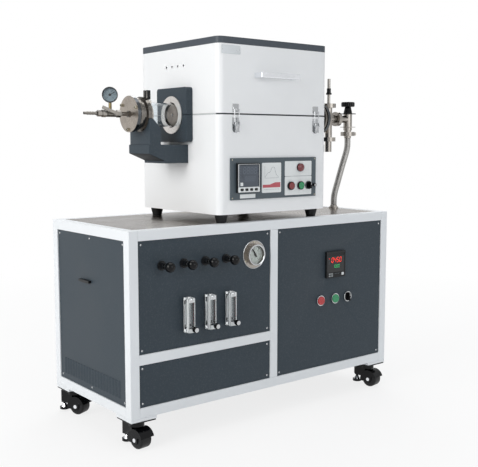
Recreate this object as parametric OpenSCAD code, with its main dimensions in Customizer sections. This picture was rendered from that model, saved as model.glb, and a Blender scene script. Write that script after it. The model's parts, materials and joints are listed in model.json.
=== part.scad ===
// Tube furnace on a gas and vacuum cart, in millimetres.
// Working datum: the front left bottom corner of the cart frame, X to the right along the
// process tube, Y to the back, Z up from the underside of the frame tubes.
// place() moves the finished pieces so that the origin lies on the floor, under the middle.

/* [Cart frame] */
// Width of the cart frame, across the front
cart_w = 1144; // [1100:1:1300]
// Depth of the cart frame
cart_d = 504; // [490:1:600]
// Height of the cart frame, from tube underside to the top face
cart_h = 580; // [560:1:700]
// Side of the square frame tube
rail = 32; // [28:1:36]
// Wall of the frame tube
rail_wall = 2; // [1.5:0.1:3]
// Middle of the post between the gas bay and the pump bay
bay_split = 573; // [560:1:620]
// Underside of the cross rail in the gas bay
gas_rail_z = 166; // [140:1:180]
// Seam between welded tubes
weld_gap = 0.1; // [0.05:0.05:0.3]
// Side of the corner pads under the frame
pad_w = 92; // [90:1:110]
// Thickness of the corner pads
pad_t = 10; // [6:1:16]

/* [Cart panels] */
// Thickness of the panel sheet
panel_t = 2; // [1.2:0.1:3]
// How far a panel face lies behind the tube face
panel_inset = 4; // [1:0.5:8]
// Depth of the folded panel rim
panel_rim = 14; // [8:1:20]
// Clearance round each panel
panel_gap = 0.5; // [0.3:0.1:1]
// Thickness of the stainless top plate
top_t = 2; // [1.5:0.1:4]
// Width of a louvre slot
slot_w = 6; // [4:0.5:9]
// Height of a louvre slot
slot_h = 50; // [30:1:80]
// Pitch of the louvre slots
slot_pitch = 19; // [14:1:30]
// Height of the louvre slots above the frame underside
slot_z = 55; // [45:1:80]

/* [Casters] */
// Floor to the caster plate's top face
caster_h = 93; // [88:1:110]
// Side of the caster plate
caster_plate_w = 88; // [70:1:90]
// Thickness of the caster plate
caster_plate_t = 5; // [3:0.5:8]
// Diameter of the caster wheel
wheel_d = 60; // [50:1:64]
// Width of the caster wheel
wheel_w = 44; // [34:1:48]
// Thickness of the fork cheeks
cheek_t = 3.5; // [2.5:0.5:6]
// Distance of the wheel axle behind the swivel axis
caster_trail = 20; // [14:1:26]
// Diameter of the wheel axle
axle_d = 8; // [6:1:12]
// Diameter of the swivel pin
kingpin_d = 12; // [10:1:16]
// Diameter of the swivel race
race_d = 54; // [44:1:60]
// Diameter of the levelling foot
level_d = 34; // [28:1:40]
// Distance of the levelling foot ahead of the swivel axis
level_reach = 46; // [44:1:52]
// Clearance under the raised levelling foot
level_lift = 8; // [4:1:14]

/* [Furnace] */
// Distance of the furnace's left side from the frame's left side
furnace_x = 336; // [300:1:380]
// Width of the furnace
furnace_w = 479; // [460:1:520]
// Depth of the furnace
furnace_d = 461; // [420:1:480]
// Height of the lower case, up to the seam
lower_h = 325; // [310:1:360]
// Height of the lid, from the seam to its top
lid_h = 243; // [220:1:300]
// Height of the dark cap on the lid
cap_h = 22; // [12:1:40]
// Gap of the seam between lid and case
seam_gap = 5; // [2:0.5:8]
// Radius of the upright corners
corner_r = 22; // [12:1:30]
// Thickness of the case sheet
sheet_t = 2; // [1.2:0.1:3]
// Height of the rubber feet
foot_h = 29; // [18:1:40]
// Top diameter of the feet
foot_d = 46; // [36:1:50]
// Bottom diameter of the feet
foot_tip_d = 32; // [24:1:40]
// Distance of each foot's middle from the case sides
foot_inset = 38; // [30:1:60]

/* [Heating chamber and tube] */
// Outer diameter of the process tube
tube_d = 80; // [76:1:82]
// Wall of the process tube
tube_wall = 3.5; // [2:0.5:6]
// Length of the process tube
tube_len = 835; // [800:1:850]
// Diameter of the tube passage through the fibre
bore_d = 84; // [83:0.5:90]
// Diameter of the heated chamber
chamber_d = 110; // [100:1:120]
// Thickness of the chamber's end walls
end_wall = 45; // [30:1:70]
// Diameter of the fibre collar at each side
collar_d = 125; // [116:1:140]
// How far the collar stands out of the port plate
collar_proud = 2; // [1:0.5:6]
// Clearance between fibre block and case
fibre_gap = 0.3; // [0.2:0.1:2]
// Depth of each fibre block, from the seam
fibre_h = 135; // [110:1:160]
// Number of heating rods in each half, an even number
rod_count = 6; // [2:2:6]
// Diameter of a heating rod
rod_d = 7; // [5:0.5:9]
// Width of the port plates
port_w = 178; // [160:1:220]
// Height of the port plates
port_h = 180; // [160:1:190]
// Thickness of the port plates
port_t = 25; // [12:1:30]
// Corner radius of the port plates
port_r = 10; // [4:1:20]

/* [Tube flanges and brackets] */
// Distance from the case side to the end disc's outer face
flange_reach = 191; // [180:1:205]
// Diameter of the end disc
disc_d = 118; // [112:1:130]
// Thickness of the end disc
disc_t = 12; // [8:1:16]
// Thickness of the seal ring
seal_t = 3; // [2:0.5:5]
// Diameter of the clamp ring behind the seal
clamp_d = 112; // [108:1:118]
// Length of the clamp ring
clamp_l = 8; // [6:1:12]
// Diameter of the flange body
body_d = 100; // [92:1:108]
// Diameter of the seat ring
seat_d = 114; // [106:1:120]
// Length of the seat ring
seat_l = 14; // [8:1:16]
// Length from the clamp ring's front to the seat ring's rear
flange_len = 40; // [36:1:50]
// Clearance between tube and flange
tube_gap = 0.3; // [0.1:0.1:0.6]
// Radius of the circle of flange bolts
bolt_r = 50; // [46:1:53]
// Number of flange bolts
bolt_count = 3; // [3:1:6]
// Diameter of a flange bolt
bolt_d = 6; // [4:1:8]
// Width of the strap round the tube
strap_w = 13; // [10:1:20]
// Thickness of the strap
strap_t = 2.7; // [1.5:0.1:4]
// Width of the brackets, front to back
bracket_w = 124; // [116:1:150]
// Height of the bracket arm at the case
arm_h = 61; // [40:1:80]
// Height of the bracket arm at its outer end
arm_tip_h = 29; // [20:1:40]
// Distance of the arm's top face below the tube axis
arm_drop = 99; // [95:1:120]
// Length of the saddle along the tube
saddle_l = 42; // [34:1:46]
// Distance of the saddle's top face below the tube axis
saddle_drop = 15; // [8:1:30]

/* [Lid fittings] */
// Length of the lid handle
handle_l = 170; // [120:1:220]
// Distance of the handle's middle from the furnace's left side
handle_x = 231; // [200:1:260]
// Distance of the handle's front face from the lid
handle_out = 39; // [30:1:50]
// Height of the handle bar
handle_h = 17; // [10:1:24]
// Thickness of the handle bar
handle_t = 8; // [5:1:12]
// Height of the handle's middle above the seam
handle_z = 126; // [90:1:160]
// Distance of the latches from the furnace's sides
latch_inset = 63; // [40:1:90]
// Width of a latch base plate
latch_w = 26; // [24:1:34]
// Diameter of the bail wire
wire_d = 2.5; // [2:0.1:3]
// Diameter of the hinge barrels
barrel_d = 12; // [9:0.5:14]
// Diameter of the hinge pins
hinge_pin_d = 5; // [4:0.5:6]
// Width of a hinge leaf
leaf_w = 60; // [48:1:80]
// Distance of the hinges from the furnace's sides
hinge_inset = 100; // [60:1:140]

/* [Controls] */
// Side of the panel instruments
meter_w = 96; // [90:1:100]
// Depth of the instrument frame
meter_bezel = 8; // [5:1:12]
// Distance of the control panel from the furnace's left side
control_x = 45; // [35:1:60]
// Width of the control panel
control_w = 377; // [370:1:400]
// Height of the control panel
control_h = 136; // [130:1:150]
// Height of the control panel above the case underside
control_z = 47; // [40:1:49]
// Thickness of the control panel
control_t = 6; // [4:1:10]
// Outer diameter of the furnace switches
switch_d = 29; // [26:1:32]
// Outer diameter of the cart switches
cart_switch_d = 38; // [34:1:44]
// Travel of a push button
button_travel = 3; // [2:0.5:3.5]

/* [Gas panel] */
// Distance of the last gas valve from the panel gauge
gas_inset = 119; // [106:1:128]
// Pitch of the gas valves and flow meters
gas_pitch = 83; // [76:1:86]
// Distance of the gas valves below the frame's top
gas_drop = 113; // [100:1:130]
// Diameter of the ball knobs
ball_d = 32; // [24:1:38]
// Distance of a ball knob's middle from the frame's front
ball_out = 45; // [38:1:60]
// Width of a flow meter block
flow_w = 24; // [20:1:34]
// Depth of a flow meter block
flow_d = 28; // [22:1:36]
// Height of a flow meter block
flow_h = 111; // [100:1:130]
// Distance of each flow meter to the right of its gas valve
flow_shift = 7; // [0:1:12]
// Gap between the panel and a flow meter block
flow_stand = 6; // [3:1:10]
// Distance of a flow meter's knob from its block
flow_knob_out = 12; // [6:1:16]
// Distance of the flow meter blocks above the cross rail
flow_rise = 50; // [24:1:62]
// Distance of the panel gauge from the middle of the post beside it
gauge_inset = 88; // [78:1:100]
// Distance of the panel gauge below the frame's top
gauge_drop = 110; // [100:1:130]
// Diameter of the panel gauge's back flange
gauge_flange_d = 96; // [86:1:100]
// Diameter of the panel gauge's case
gauge_d = 72; // [60:1:78]

/* [Gas inlet and vacuum line] */
// Diameter of the inlet line
line_d = 13; // [10:1:16]
// Length of the hose barb
barb_l = 51; // [40:1:60]
// Diameter of the inlet gauge
inlet_gauge_d = 50; // [40:1:56]
// Diameter of the vacuum pipes
pipe_d = 28; // [25:1:33]
// Diameter of the vacuum flanges
kf_d = 40; // [38:1:44]
// Diameter of the vacuum clamps
kf_clamp_d = 56; // [52:1:60]
// Length of a vacuum clamp along its pipe
kf_clamp_l = 16; // [14:1:24]
// Distance from the right end disc to the riser's axis
riser_x = 46; // [40:1:60]
// Distance from the riser's axis to the angle valve's axis
valve_x = 108; // [96:1:112]
// Diameter of the angle valve's handwheel
handwheel_d = 52; // [40:1:60]
// Outer diameter of the bellows hose
hose_d = 25; // [20:1:27]

/* [Hidden] */
$fn = 48;

// Clearances: running fit on a radius, and seat between pieces that bolt together
run = 0.05;
seat = 0.3;

// Levels and middles that many pieces share
floor_z = -pad_t - caster_h;
furnace_z = cart_h + foot_h;
seam_z = furnace_z + lower_h;
lid_z = seam_z + lid_h;
tube_y = furnace_d / 2;
furnace_mid = furnace_x + furnace_w / 2;
furnace_end = furnace_x + furnace_w;
inset_face = panel_inset;
bay_left = [rail, bay_split - rail / 2];
bay_right = [bay_split + rail / 2, cart_w - rail];

// Furnace interior
wall_in = sheet_t + fibre_gap;
shelf_z = seam_z - fibre_h - sheet_t;
fibre_seam = 0.2;
plate_seam = 0.5;
collar_gap = 0.3;
groove_gap = 0.3;

// Places of the gas panel's pieces
gauge_x = bay_split - gauge_inset;
gauge_z = cart_h - gauge_drop;
gas_x = gauge_x - gas_inset - 3 * gas_pitch;
gas_z = cart_h - gas_drop;
flow_z = gas_rail_z + rail + flow_rise;
flow_x = gas_x + flow_shift;

// Hinge line of the lid
hinge_y = furnace_d + barrel_d / 2 + seat;
leaf_t = 2.5;
leaf_h = 32;
knuckle_gap = 0.5;

// Tube flange stations, measured from the end disc's outer face
ring_start = disc_t + seal_t;
ring_end = ring_start + flange_len;
seat_start = ring_end - seat_l;
flange_x = furnace_x - flange_reach;

// Latch: pivot of the lever and pivot of the bail, as [y, z]
latch_xs = [furnace_x + latch_inset + 5, furnace_end - latch_inset + 6];
lever_pivot = [-4.5, seam_z - 29];
bail_pivot = [-11, seam_z - 37];
nose_out = 6;
nose_w = 14;
nose_z = seam_z + 14;
lever_w = 15;
bail_half = nose_w / 2 + 1.2 + wire_d / 2;
ear_t = 2;
ear_x = bail_half + wire_d / 2 + 0.4;

// Controls on the furnace, as [x, z] from the case's lower left corner
controller_at = [114, 118];
lamp_at = [346, 148];
stop_at = [303, 86];
start_at = [348, 86];
key_at = [386, 86];
fuse_at = [412, 86];

// Controls on the cart's pump panel, as [x, z] from the frame
meter_at = [868, 402];
cart_stop_at = [796, 275];
cart_start_at = [869, 275];
selector_at = [934, 275];

// Gas inlet stations, measured outward from the left end disc
nipple_l = 32;
inlet_body_l = 67;
inlet_gauge_at = 68;
inlet_pivot_at = 57;
inlet_gauge_z = 59;
inlet_body_d = 22;
lever_rest = 20;
lever_l = 56;

// Vacuum line stations
kf_t = 4;
riser_at = 2 * furnace_mid - flange_x + riser_x;
valve_at = riser_at + valve_x;
arm_joint = riser_at + 43;
top_joint = seam_z + 51;
low_joint = seam_z - 80;
hose_joint = seam_z - 58;
hose_top = hose_joint - 16;
foot_flange_t = 6;
hose_low = cart_h + foot_flange_t + 6;
hose_foot = [1097, 241];
clamp_turn = 20;

// Route of the bellows hose, from the angle valve to the cart top
hose_route = [
    [1160, 230.5, 860], [1158, 231, 815], [1136, 234, 750],
    [1114, 237, 684], [1099, 240, 633], [1097, 241, 592]
];

// Casters: middle of each, and the heading of its trailing wheel
caster_at = [
    [pad_w / 2, pad_w / 2], [cart_w - pad_w / 2, pad_w / 2],
    [pad_w / 2, cart_d - pad_w / 2], [cart_w - pad_w / 2, cart_d - pad_w / 2]
];
caster_heading = [-82, -80, -65, -60];

// Outer extents that set the origin
extent_left = flange_x - nipple_l - inlet_body_l - barb_l - 12;
extent_right = valve_at + (kf_clamp_d / 2 + 9) * cos(clamp_turn);
extent_front = -ball_out - ball_d / 2;
extent_back = max([for (i = [0:3])
    caster_at[i][1] - level_reach * sin(caster_heading[i]) + level_d / 2]);
origin_x = (extent_left + extent_right) / 2;
origin_y = (extent_front + extent_back) / 2;

module place() {
    translate([-origin_x, -origin_y, -floor_z]) children();
}

// ---- shapes that several pieces share ----

module round_rect(w, d, r) {
    square([w - 2 * r, d], center = true);
    square([w, d - 2 * r], center = true);
    for (sx = [-1, 1], sy = [-1, 1])
        translate([sx * (w / 2 - r), sy * (d / 2 - r)])
            circle(r = r);
}

module rod_x(length, d) {
    rotate([0, 90, 0]) cylinder(d = d, h = length);
}

// A rod that runs from y = 0 to the front
module rod_front(length, d) {
    rotate([90, 0, 0]) cylinder(d = d, h = length);
}

// A square tube, open at both ends of the named axis, closed at its top if capped
module box_tube(size, along, capped = false) {
    low = [for (i = [0:2]) i == along ? -1 : rail_wall];
    far = [for (i = [0:2]) i == along ? size[i] + 2 - (capped ? 1 + rail_wall : 0)
        : size[i] - 2 * rail_wall];
    difference() {
        cube(size);
        translate(low) cube(far);
    }
}

// A folded tray: face at y = 0, rims to the back, lower left corner at the origin
module tray(w, h) {
    difference() {
        cube([w, panel_rim, h]);
        translate([panel_t, panel_t, panel_t])
            cube([w - 2 * panel_t, panel_rim, h - 2 * panel_t]);
    }
}

// A row of upright slots through a tray face, from one end to the other
module slots(from, to, z) {
    for (x = [from : slot_pitch : to])
        translate([x, -1, z]) cube([slot_w, panel_t + 2, slot_h]);
}

// The pieces of the right end mirror those of the left end
module both_ends() {
    children();
    translate([2 * furnace_mid, 0, 0]) mirror([1, 0, 0]) children();
}

// ---- cart ----

module cart_frame() {
    g = weld_gap;
    inner_w = cart_w - 2 * rail - 2 * g;
    inner_d = cart_d - 2 * rail - 2 * g;
    color("whitesmoke") {
        for (x = [0, cart_w - rail], y = [0, cart_d - rail])
            translate([x, y, 0]) box_tube([rail, rail, cart_h], 2, true);
        for (y = [0, cart_d - rail], z = [0, cart_h - rail])
            translate([rail + g, y, z]) box_tube([inner_w, rail, rail], 0);
        for (x = [0, cart_w - rail], z = [0, cart_h - rail])
            translate([x, rail + g, z]) box_tube([rail, inner_d, rail], 1);
        for (y = [0, cart_d - rail])
            translate([bay_left[1], y, rail + g])
                box_tube([rail, rail, cart_h - 2 * rail - 2 * g], 2);
        translate([rail + g, 0, gas_rail_z])
            box_tube([bay_left[1] - rail - 2 * g, rail, rail], 0);
        translate([bay_left[1], rail + g, 0]) box_tube([rail, inner_d, rail], 1);
        for (x = [furnace_x + foot_inset, bay_split, furnace_end - foot_inset])
            translate([x - rail / 2, rail + g, cart_h - top_t - rail])
                box_tube([rail, inner_d, rail], 1);
        for (x = [0, cart_w - pad_w], y = [0, cart_d - pad_w])
            translate([x, y, -pad_t]) cube([pad_w, pad_w, pad_t - g]);
    }
}

module cart_top() {
    color("silver") difference() {
        translate([rail + panel_gap, rail + panel_gap, cart_h - top_t])
            cube([cart_w - 2 * rail - 2 * panel_gap, cart_d - 2 * rail - 2 * panel_gap, top_t]);
        translate([hose_foot[0], hose_foot[1], cart_h - top_t - 1])
            cylinder(d = 20 + 2 * seat, h = top_t + 2);
    }
}

// One tray that fills the opening between x and z limits of the front
module front_tray(xs, zs) {
    translate([xs[0] + panel_gap, inset_face, zs[0] + panel_gap])
        tray(xs[1] - xs[0] - 2 * panel_gap, zs[1] - zs[0] - 2 * panel_gap);
}

// A hole through a front panel
module panel_hole(at, d) {
    translate([at[0], inset_face + panel_t + 1, at[1]]) rod_front(panel_t + 2, d);
}

module front_panels() {
    color("darkslategray") {
        difference() {
            front_tray(bay_left, [gas_rail_z + rail, cart_h - rail]);
            for (i = [0:3])
                panel_hole([gas_x + i * gas_pitch, gas_z], valve_shank_d + 2 * seat);
            for (i = [1:3], z = flow_ports)
                panel_hole([flow_x + i * gas_pitch, z], flow_port_d + 2 * seat);
            panel_hole([gauge_x, gauge_z], gauge_back_d + 2 * seat);
        }
        front_tray(bay_left, [rail, gas_rail_z]);
        difference() {
            front_tray(bay_right, [rail, cart_h - rail]);
            translate([meter_at[0] - meter_cut / 2, inset_face - 1, meter_at[1] - meter_cut / 2])
                cube([meter_cut, panel_t + 2, meter_cut]);
            for (at = [cart_stop_at, cart_start_at, selector_at])
                panel_hole(at, shank_d + 2 * seat);
        }
    }
}

module side_panel(latch) {
    w = cart_d - 2 * rail - 2 * panel_gap;
    h = cart_h - 2 * rail - 2 * panel_gap;
    difference() {
        tray(w, h);
        slots(slot_first, w - slot_first, slot_z - rail - panel_gap);
        if (latch)
            translate([cart_d - latch_at[0] - rail - panel_gap, panel_t + 1,
                    latch_at[1] - rail - panel_gap])
                rod_front(panel_t + 2, latch_stem_d + 2 * run);
    }
}

module outer_panels() {
    color("darkslategray") {
        translate([inset_face, cart_d - rail - panel_gap, rail + panel_gap])
            rotate([0, 0, -90]) side_panel(true);
        translate([cart_w - inset_face, rail + panel_gap, rail + panel_gap])
            rotate([0, 0, 90]) side_panel(false);
        for (bay = [bay_left, bay_right])
            translate([bay[1] - panel_gap, cart_d - inset_face, rail + panel_gap])
                rotate([0, 0, 180]) difference() {
                    tray(bay[1] - bay[0] - 2 * panel_gap, cart_h - 2 * rail - 2 * panel_gap);
                    slots(slot_first, bay[1] - bay[0] - 2 * slot_first,
                        cart_h - 2 * rail - 2 * slot_h);
                }
        floor_pan();
    }
}

// The floor sheet lies on the bottom rails, cut out round the posts
module floor_pan() {
    edge = inset_face + panel_rim + 2;
    cut = rail + panel_gap;
    difference() {
        translate([edge, edge, rail]) cube([cart_w - 2 * edge, cart_d - 2 * edge, panel_t]);
        for (x = [0, cart_w - cut], y = [0, cart_d - cut])
            translate([x, y, rail - 1]) cube([cut, cut, panel_t + 2]);
        for (y = [0, cart_d - cut])
            translate([bay_left[1] - panel_gap, y, rail - 1])
                cube([rail + 2 * panel_gap, cut, panel_t + 2]);
    }
}

// Quarter turn latch of the left side panel, as [y, z]
latch_at = [278, 395];
latch_stem_d = 10;
latch_bar = [68, 8];
latch_proud = 10;
slot_first = 34;

module side_latch() {
    color("dimgray") translate([inset_face, latch_at[0], latch_at[1]]) {
        translate([-latch_proud, -latch_bar[0] / 2, -latch_bar[1] / 2])
            cube([latch_proud - seat, latch_bar[0], latch_bar[1]]);
        translate([-latch_proud, 0, 0]) rod_x(latch_proud + panel_t + seat + 4, latch_stem_d);
        translate([panel_t + seat, -latch_stem_d / 2, -latch_stem_d / 2])
            cube([panel_t, latch_stem_d / 2 + 32, latch_stem_d]);
    }
}

// ---- casters ----

race_t = 5;
fork_top = caster_h - caster_plate_t - race_t - seat;

module caster_plates() {
    color("black") for (at = caster_at)
        translate([at[0], at[1], floor_z]) {
            translate([-caster_plate_w / 2, -caster_plate_w / 2, caster_h - caster_plate_t])
                cube([caster_plate_w, caster_plate_w, caster_plate_t]);
            translate([0, 0, fork_top + seat]) cylinder(d = race_d, h = race_t);
            translate([0, 0, fork_top - 12]) cylinder(d = kingpin_d, h = 14);
        }
}

arm_z = 38;
wheel_edge = 5;
level_pad_h = 8;
level_dome_h = 12;
level_stud_d = 10;
level_collar_d = 24;
axle_cap_d = 13;
axle_cap_t = 1.5;

// Side view of one cheek, about the axle
module cheek_shape(r) {
    intersection() {
        circle(r = r);
        union() {
            translate([-r, 10]) square([2 * r, r]);
            translate([-r, -10]) square([r - 6, 2 * r]);
        }
    }
    translate([-14, 0]) square([28, 12]);
    circle(r = 14);
}

// One fork, with the swivel axis at the origin and the floor at z = 0
module caster_fork() {
    inner = wheel_w + 1;
    outer = inner + 2 * cheek_t;
    cover_r = wheel_d / 2 + 5;
    inner_r = wheel_d / 2 + 2.5;
    axle_z = wheel_d / 2;
    color("black") difference() {
        union() {
            translate([0, 0, fork_top - 14]) cylinder(d = race_d - 4, h = 14);
            // Cheeks and the cover over the wheel
            translate([caster_trail, 0, axle_z]) rotate([90, 0, 0])
                translate([0, 0, -outer / 2]) linear_extrude(outer) cheek_shape(cover_r);
            // Housing between the cover and the race, with the levelling foot's collar
            translate([-level_reach + 4, -outer / 2 + 3, arm_z])
                cube([level_reach, outer - 6, fork_top - 2 - arm_z]);
            translate([-level_reach, 0, arm_z])
                cylinder(d = level_collar_d, h = fork_top - 8 - arm_z);
        }
        translate([0, 0, fork_top - 13]) cylinder(d = kingpin_d + 2 * run, h = 14);
        // Room for the wheel
        translate([caster_trail, inner / 2, axle_z]) rotate([90, 0, 0])
            cylinder(r = inner_r, h = inner);
        translate([caster_trail - inner_r, -inner / 2, 0]) cube([2 * inner_r, inner, axle_z]);
        translate([-level_reach, 0, arm_z - 1])
            cylinder(d = level_stud_d + 2 * seat, h = fork_top - arm_z);
    }
    color("silver") translate([caster_trail, outer / 2, axle_z]) {
        rod_front(outer, axle_d);
        translate([0, axle_cap_t, 0]) rod_front(axle_cap_t, axle_cap_d);
        translate([0, -outer, 0]) rod_front(axle_cap_t, axle_cap_d);
    }
    // Levelling foot with its dome and stud
    translate([-level_reach, 0, level_lift]) {
        color("black") cylinder(d = level_d, h = level_pad_h);
        color("silver") translate([0, 0, level_pad_h - 1])
            cylinder(d1 = level_d - 8, d2 = 14, h = level_dome_h);
        color("silver") cylinder(d = level_stud_d, h = fork_top - level_lift - 4);
    }
}

module caster_wheel() {
    tread = wheel_w - 2 * wheel_edge;
    color("dimgray") translate([caster_trail, wheel_w / 2, wheel_d / 2]) rotate([90, 0, 0])
        difference() {
            union() {
                cylinder(d1 = wheel_d - 2 * wheel_edge, d2 = wheel_d, h = wheel_edge, $fn = 72);
                translate([0, 0, wheel_edge]) cylinder(d = wheel_d, h = tread, $fn = 72);
                translate([0, 0, wheel_edge + tread])
                    cylinder(d1 = wheel_d, d2 = wheel_d - 2 * wheel_edge, h = wheel_edge, $fn = 72);
            }
            translate([0, 0, -1]) cylinder(d = axle_d + 2 * run, h = wheel_w + 2);
        }
}

// Puts a fork or a wheel at its corner, turned to its heading
module at_caster(i) {
    translate([caster_at[i][0], caster_at[i][1], floor_z])
        rotate([0, 0, caster_heading[i]]) children();
}

// ---- gas panel ----

valve_shank_d = 16;
flow_port_d = 10;
flow_ports = [flow_z + 16, flow_z + flow_h - 16];
flow_bore = 9;
flow_knob_z = flow_z + 14;
flow_knob_l = 14;
flow_stem = 6;
gauge_back_d = 50;
spindle_d = 8;
bonnet_l = 22;
manifold_y = 40;

module flowmeter_bodies() {
    for (i = [1:3]) translate([flow_x + i * gas_pitch, inset_face - flow_stand, 0]) {
        color("lightcyan") difference() {
            translate([-flow_w / 2, -flow_d, flow_z]) cube([flow_w, flow_d, flow_h]);
            translate([0, -flow_d / 2, flow_z + 20]) cylinder(d = flow_bore, h = flow_h - 36);
            translate([0, -flow_d - 1, flow_knob_z]) rotate([-90, 0, 0])
                cylinder(d = flow_stem + 2 * run, h = 13);
        }
        color("gold") for (z = flow_ports) {
            translate([0, 24 + flow_stand, z]) rod_front(24 + flow_stand, flow_port_d);
            translate([0, flow_stand, z]) rod_front(flow_stand, 16);
        }
        color("black") translate([0, -flow_d / 2, flow_z + 20 + seat])
            cylinder(d1 = 4, d2 = flow_bore - 2 * seat, h = 8);
    }
}

module flow_knob(i) {
    translate([flow_x + i * gas_pitch, inset_face - flow_stand - flow_d, flow_knob_z]) {
        color("black") translate([0, -flow_knob_out, 0]) rod_front(flow_knob_l, 16);
        color("silver") translate([0, 10, 0])
            rod_front(10 + flow_knob_out + flow_knob_l + 1, flow_stem);
    }
}

module gas_valves() {
    for (i = [0:3]) translate([gas_x + i * gas_pitch, inset_face, gas_z]) {
        color("silver") difference() {
            union() {
                rod_front(5, 30);
                rod_front(bonnet_l, 20);
                translate([0, manifold_y - inset_face, 0]) rod_front(manifold_y, valve_shank_d);
            }
            translate([0, -bonnet_l + 14, 0]) rod_front(16, spindle_d + 2 * run);
        }
        color("silver") translate([0, panel_t + 8, 0]) difference() {
            rod_front(8, 26);
            translate([0, 1, 0]) rod_front(10, valve_shank_d + 2 * seat);
        }
    }
    // Manifold block that the four valves feed
    color("silver") translate([gas_x - 20, manifold_y + weld_gap, gas_z - 15])
        cube([3 * gas_pitch + 40, 30, 30]);
}

module gas_knob(i) {
    color("dimgray") translate([gas_x + i * gas_pitch, 0, gas_z]) {
        translate([0, -ball_out, 0]) sphere(d = ball_d, $fn = 64);
        translate([0, inset_face - bonnet_l + 12, 0])
            rod_front(ball_out - bonnet_l + 12 + inset_face, spindle_d);
    }
}

// Round gauge that faces the front: case, dial and glass, middle of the back at the origin
module dial_gauge(d, depth) {
    wall = 2;
    color("silver") difference() {
        rod_front(depth, d);
        translate([0, -wall, 0]) rod_front(depth, d - 2 * wall - 2);
        translate([0, -depth + 3, 0]) rod_front(4, d - 2 * wall);
    }
    color("white") translate([0, -wall, 0]) difference() {
        rod_front(1, d - 2 * wall - 2 - 2 * seat);
        translate([0, 1, 0]) rod_front(3, 4);
    }
    color("silver") translate([0, -wall, 0]) rod_front(depth - 6 - wall, 3);
    color("azure") translate([0, -depth + 3, 0]) rod_front(2.5, d - 2 * wall - 2 * seat);
}

gauge_depth = 16;
inlet_gauge_depth = 20;
inlet_gauge_turn = -32;
needle_t = 1;
inlet_gauge_pos = [flange_x - inlet_gauge_at, tube_y, seam_z + inlet_gauge_z];

module gauges() {
    // Panel gauge with its back flange, case and connection
    translate([gauge_x, inset_face, gauge_z]) {
        color("silver") difference() {
            rod_front(2, gauge_flange_d);
            for (a = [90, 210, 330])
                translate([(gauge_flange_d + gauge_d) / 4 * cos(a), 1,
                        (gauge_flange_d + gauge_d) / 4 * sin(a)])
                    rod_front(4, 4);
        }
        translate([0, -2, 0]) dial_gauge(gauge_d, gauge_depth);
        color("black") translate([0, 30, 0]) rod_front(30, gauge_back_d);
    }
    // Inlet gauge on its stem
    translate(inlet_gauge_pos) rotate([0, 0, inlet_gauge_turn]) {
        translate([0, inlet_gauge_depth / 2, 0])
            dial_gauge(inlet_gauge_d, inlet_gauge_depth);
        color("black") translate([0, -inlet_gauge_depth / 2 + 7, 0])
            needle(inlet_gauge_d / 2 - 8, 60);
        color("gold") difference() {
            translate([0, 0, inlet_body_d / 2 - inlet_gauge_z])
                cylinder(d = 10, h = inlet_gauge_z - inlet_body_d / 2 - inlet_gauge_d / 2 + 3);
            rotate([90, 0, 0]) cylinder(d = inlet_gauge_d + 0.2, h = 24, center = true);
        }
    }
}

// Pointer on its hub, turned from straight up
module needle(reach, turn) {
    rotate([0, turn, 0]) {
        difference() {
            union() {
                rod_front(needle_t, 8);
                translate([-1, -needle_t, -reach / 4]) cube([2, needle_t, reach * 1.25]);
            }
            translate([0, 1, 0]) rod_front(4, 3 + 2 * run);
        }
    }
}

module gauge_needle() {
    color("black")
        translate([gauge_x, inset_face - 2 - 6, gauge_z]) needle(gauge_d / 2 - 8, -35);
}

// ---- instruments and switches ----

meter_cut = 91;
meter_body = 90;
meter_depth = 70;
shank_d = 22;
stem_d = 10;

// Panel instrument with its frame at the front and its body behind
module instrument() {
    color("black") {
        translate([-meter_w / 2, -meter_bezel, -meter_w / 2]) difference() {
            cube([meter_w, meter_bezel, meter_w]);
            translate([6, -1, 18]) cube([meter_w - 12, 2.5, meter_w - 24]);
        }
        translate([-meter_body / 2, 0, -meter_body / 2])
            cube([meter_body, meter_depth, meter_body]);
    }
}

module on_control(at) {
    translate([furnace_x + at[0], -control_t, furnace_z + at[1]]) children();
}

module on_cart(at) {
    translate([at[0], inset_face, at[1]]) children();
}

module panel_instruments() {
    on_control(controller_at) instrument();
    on_cart(meter_at) instrument();
}

// Switch frame: ring in front of the panel, threaded shank and nut behind it
module switch_frame(d, panel) {
    cap = d * 0.82;
    color("silver") difference() {
        union() {
            rod_front(button_travel + 3, d);
            translate([0, 30, 0]) rod_front(31, shank_d);
        }
        translate([0, -1, 0]) rod_front(button_travel + 4, cap + 2 * run);
        translate([0, 20, 0]) rod_front(30, stem_d + 2 * run);
    }
    color("dimgray") translate([0, panel + 6, 0]) difference() {
        rod_front(6, 30);
        translate([0, 1, 0]) rod_front(8, shank_d + 2 * seat);
    }
}

// Cap and stem of a push button that stands proud by its travel
module button(d) {
    translate([0, -1.2 - button_travel, 0]) rod_front(button_travel + 2.5, d * 0.82);
    translate([0, 12, 0]) rod_front(14 + button_travel, stem_d);
}

// Turning knob with a grip bar
module turn_knob(d) {
    translate([0, -1 - seat, 0]) rod_front(button_travel + 2, d * 0.82);
    translate([-3, -button_travel - 14, -d * 0.38]) cube([6, 12, d * 0.76]);
    translate([0, 12, 0]) rod_front(14, stem_d);
}

module switch_bezels() {
    for (at = [stop_at, start_at, key_at]) on_control(at) switch_frame(switch_d, control_t);
    for (at = [cart_stop_at, cart_start_at, selector_at])
        on_cart(at) switch_frame(cart_switch_d, panel_t);
    // Signal lamp and fuse holder
    on_control(lamp_at) {
        color("silver") rod_front(4, switch_d);
        color("red") translate([0, -4, 0]) rod_front(5, switch_d * 0.7);
        color("black") translate([0, 24, 0]) rod_front(24, shank_d);
    }
    on_control(fuse_at) {
        color("black") rod_front(9, 12);
        color("black") translate([0, 24, 0]) rod_front(24, 9);
    }
}

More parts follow.
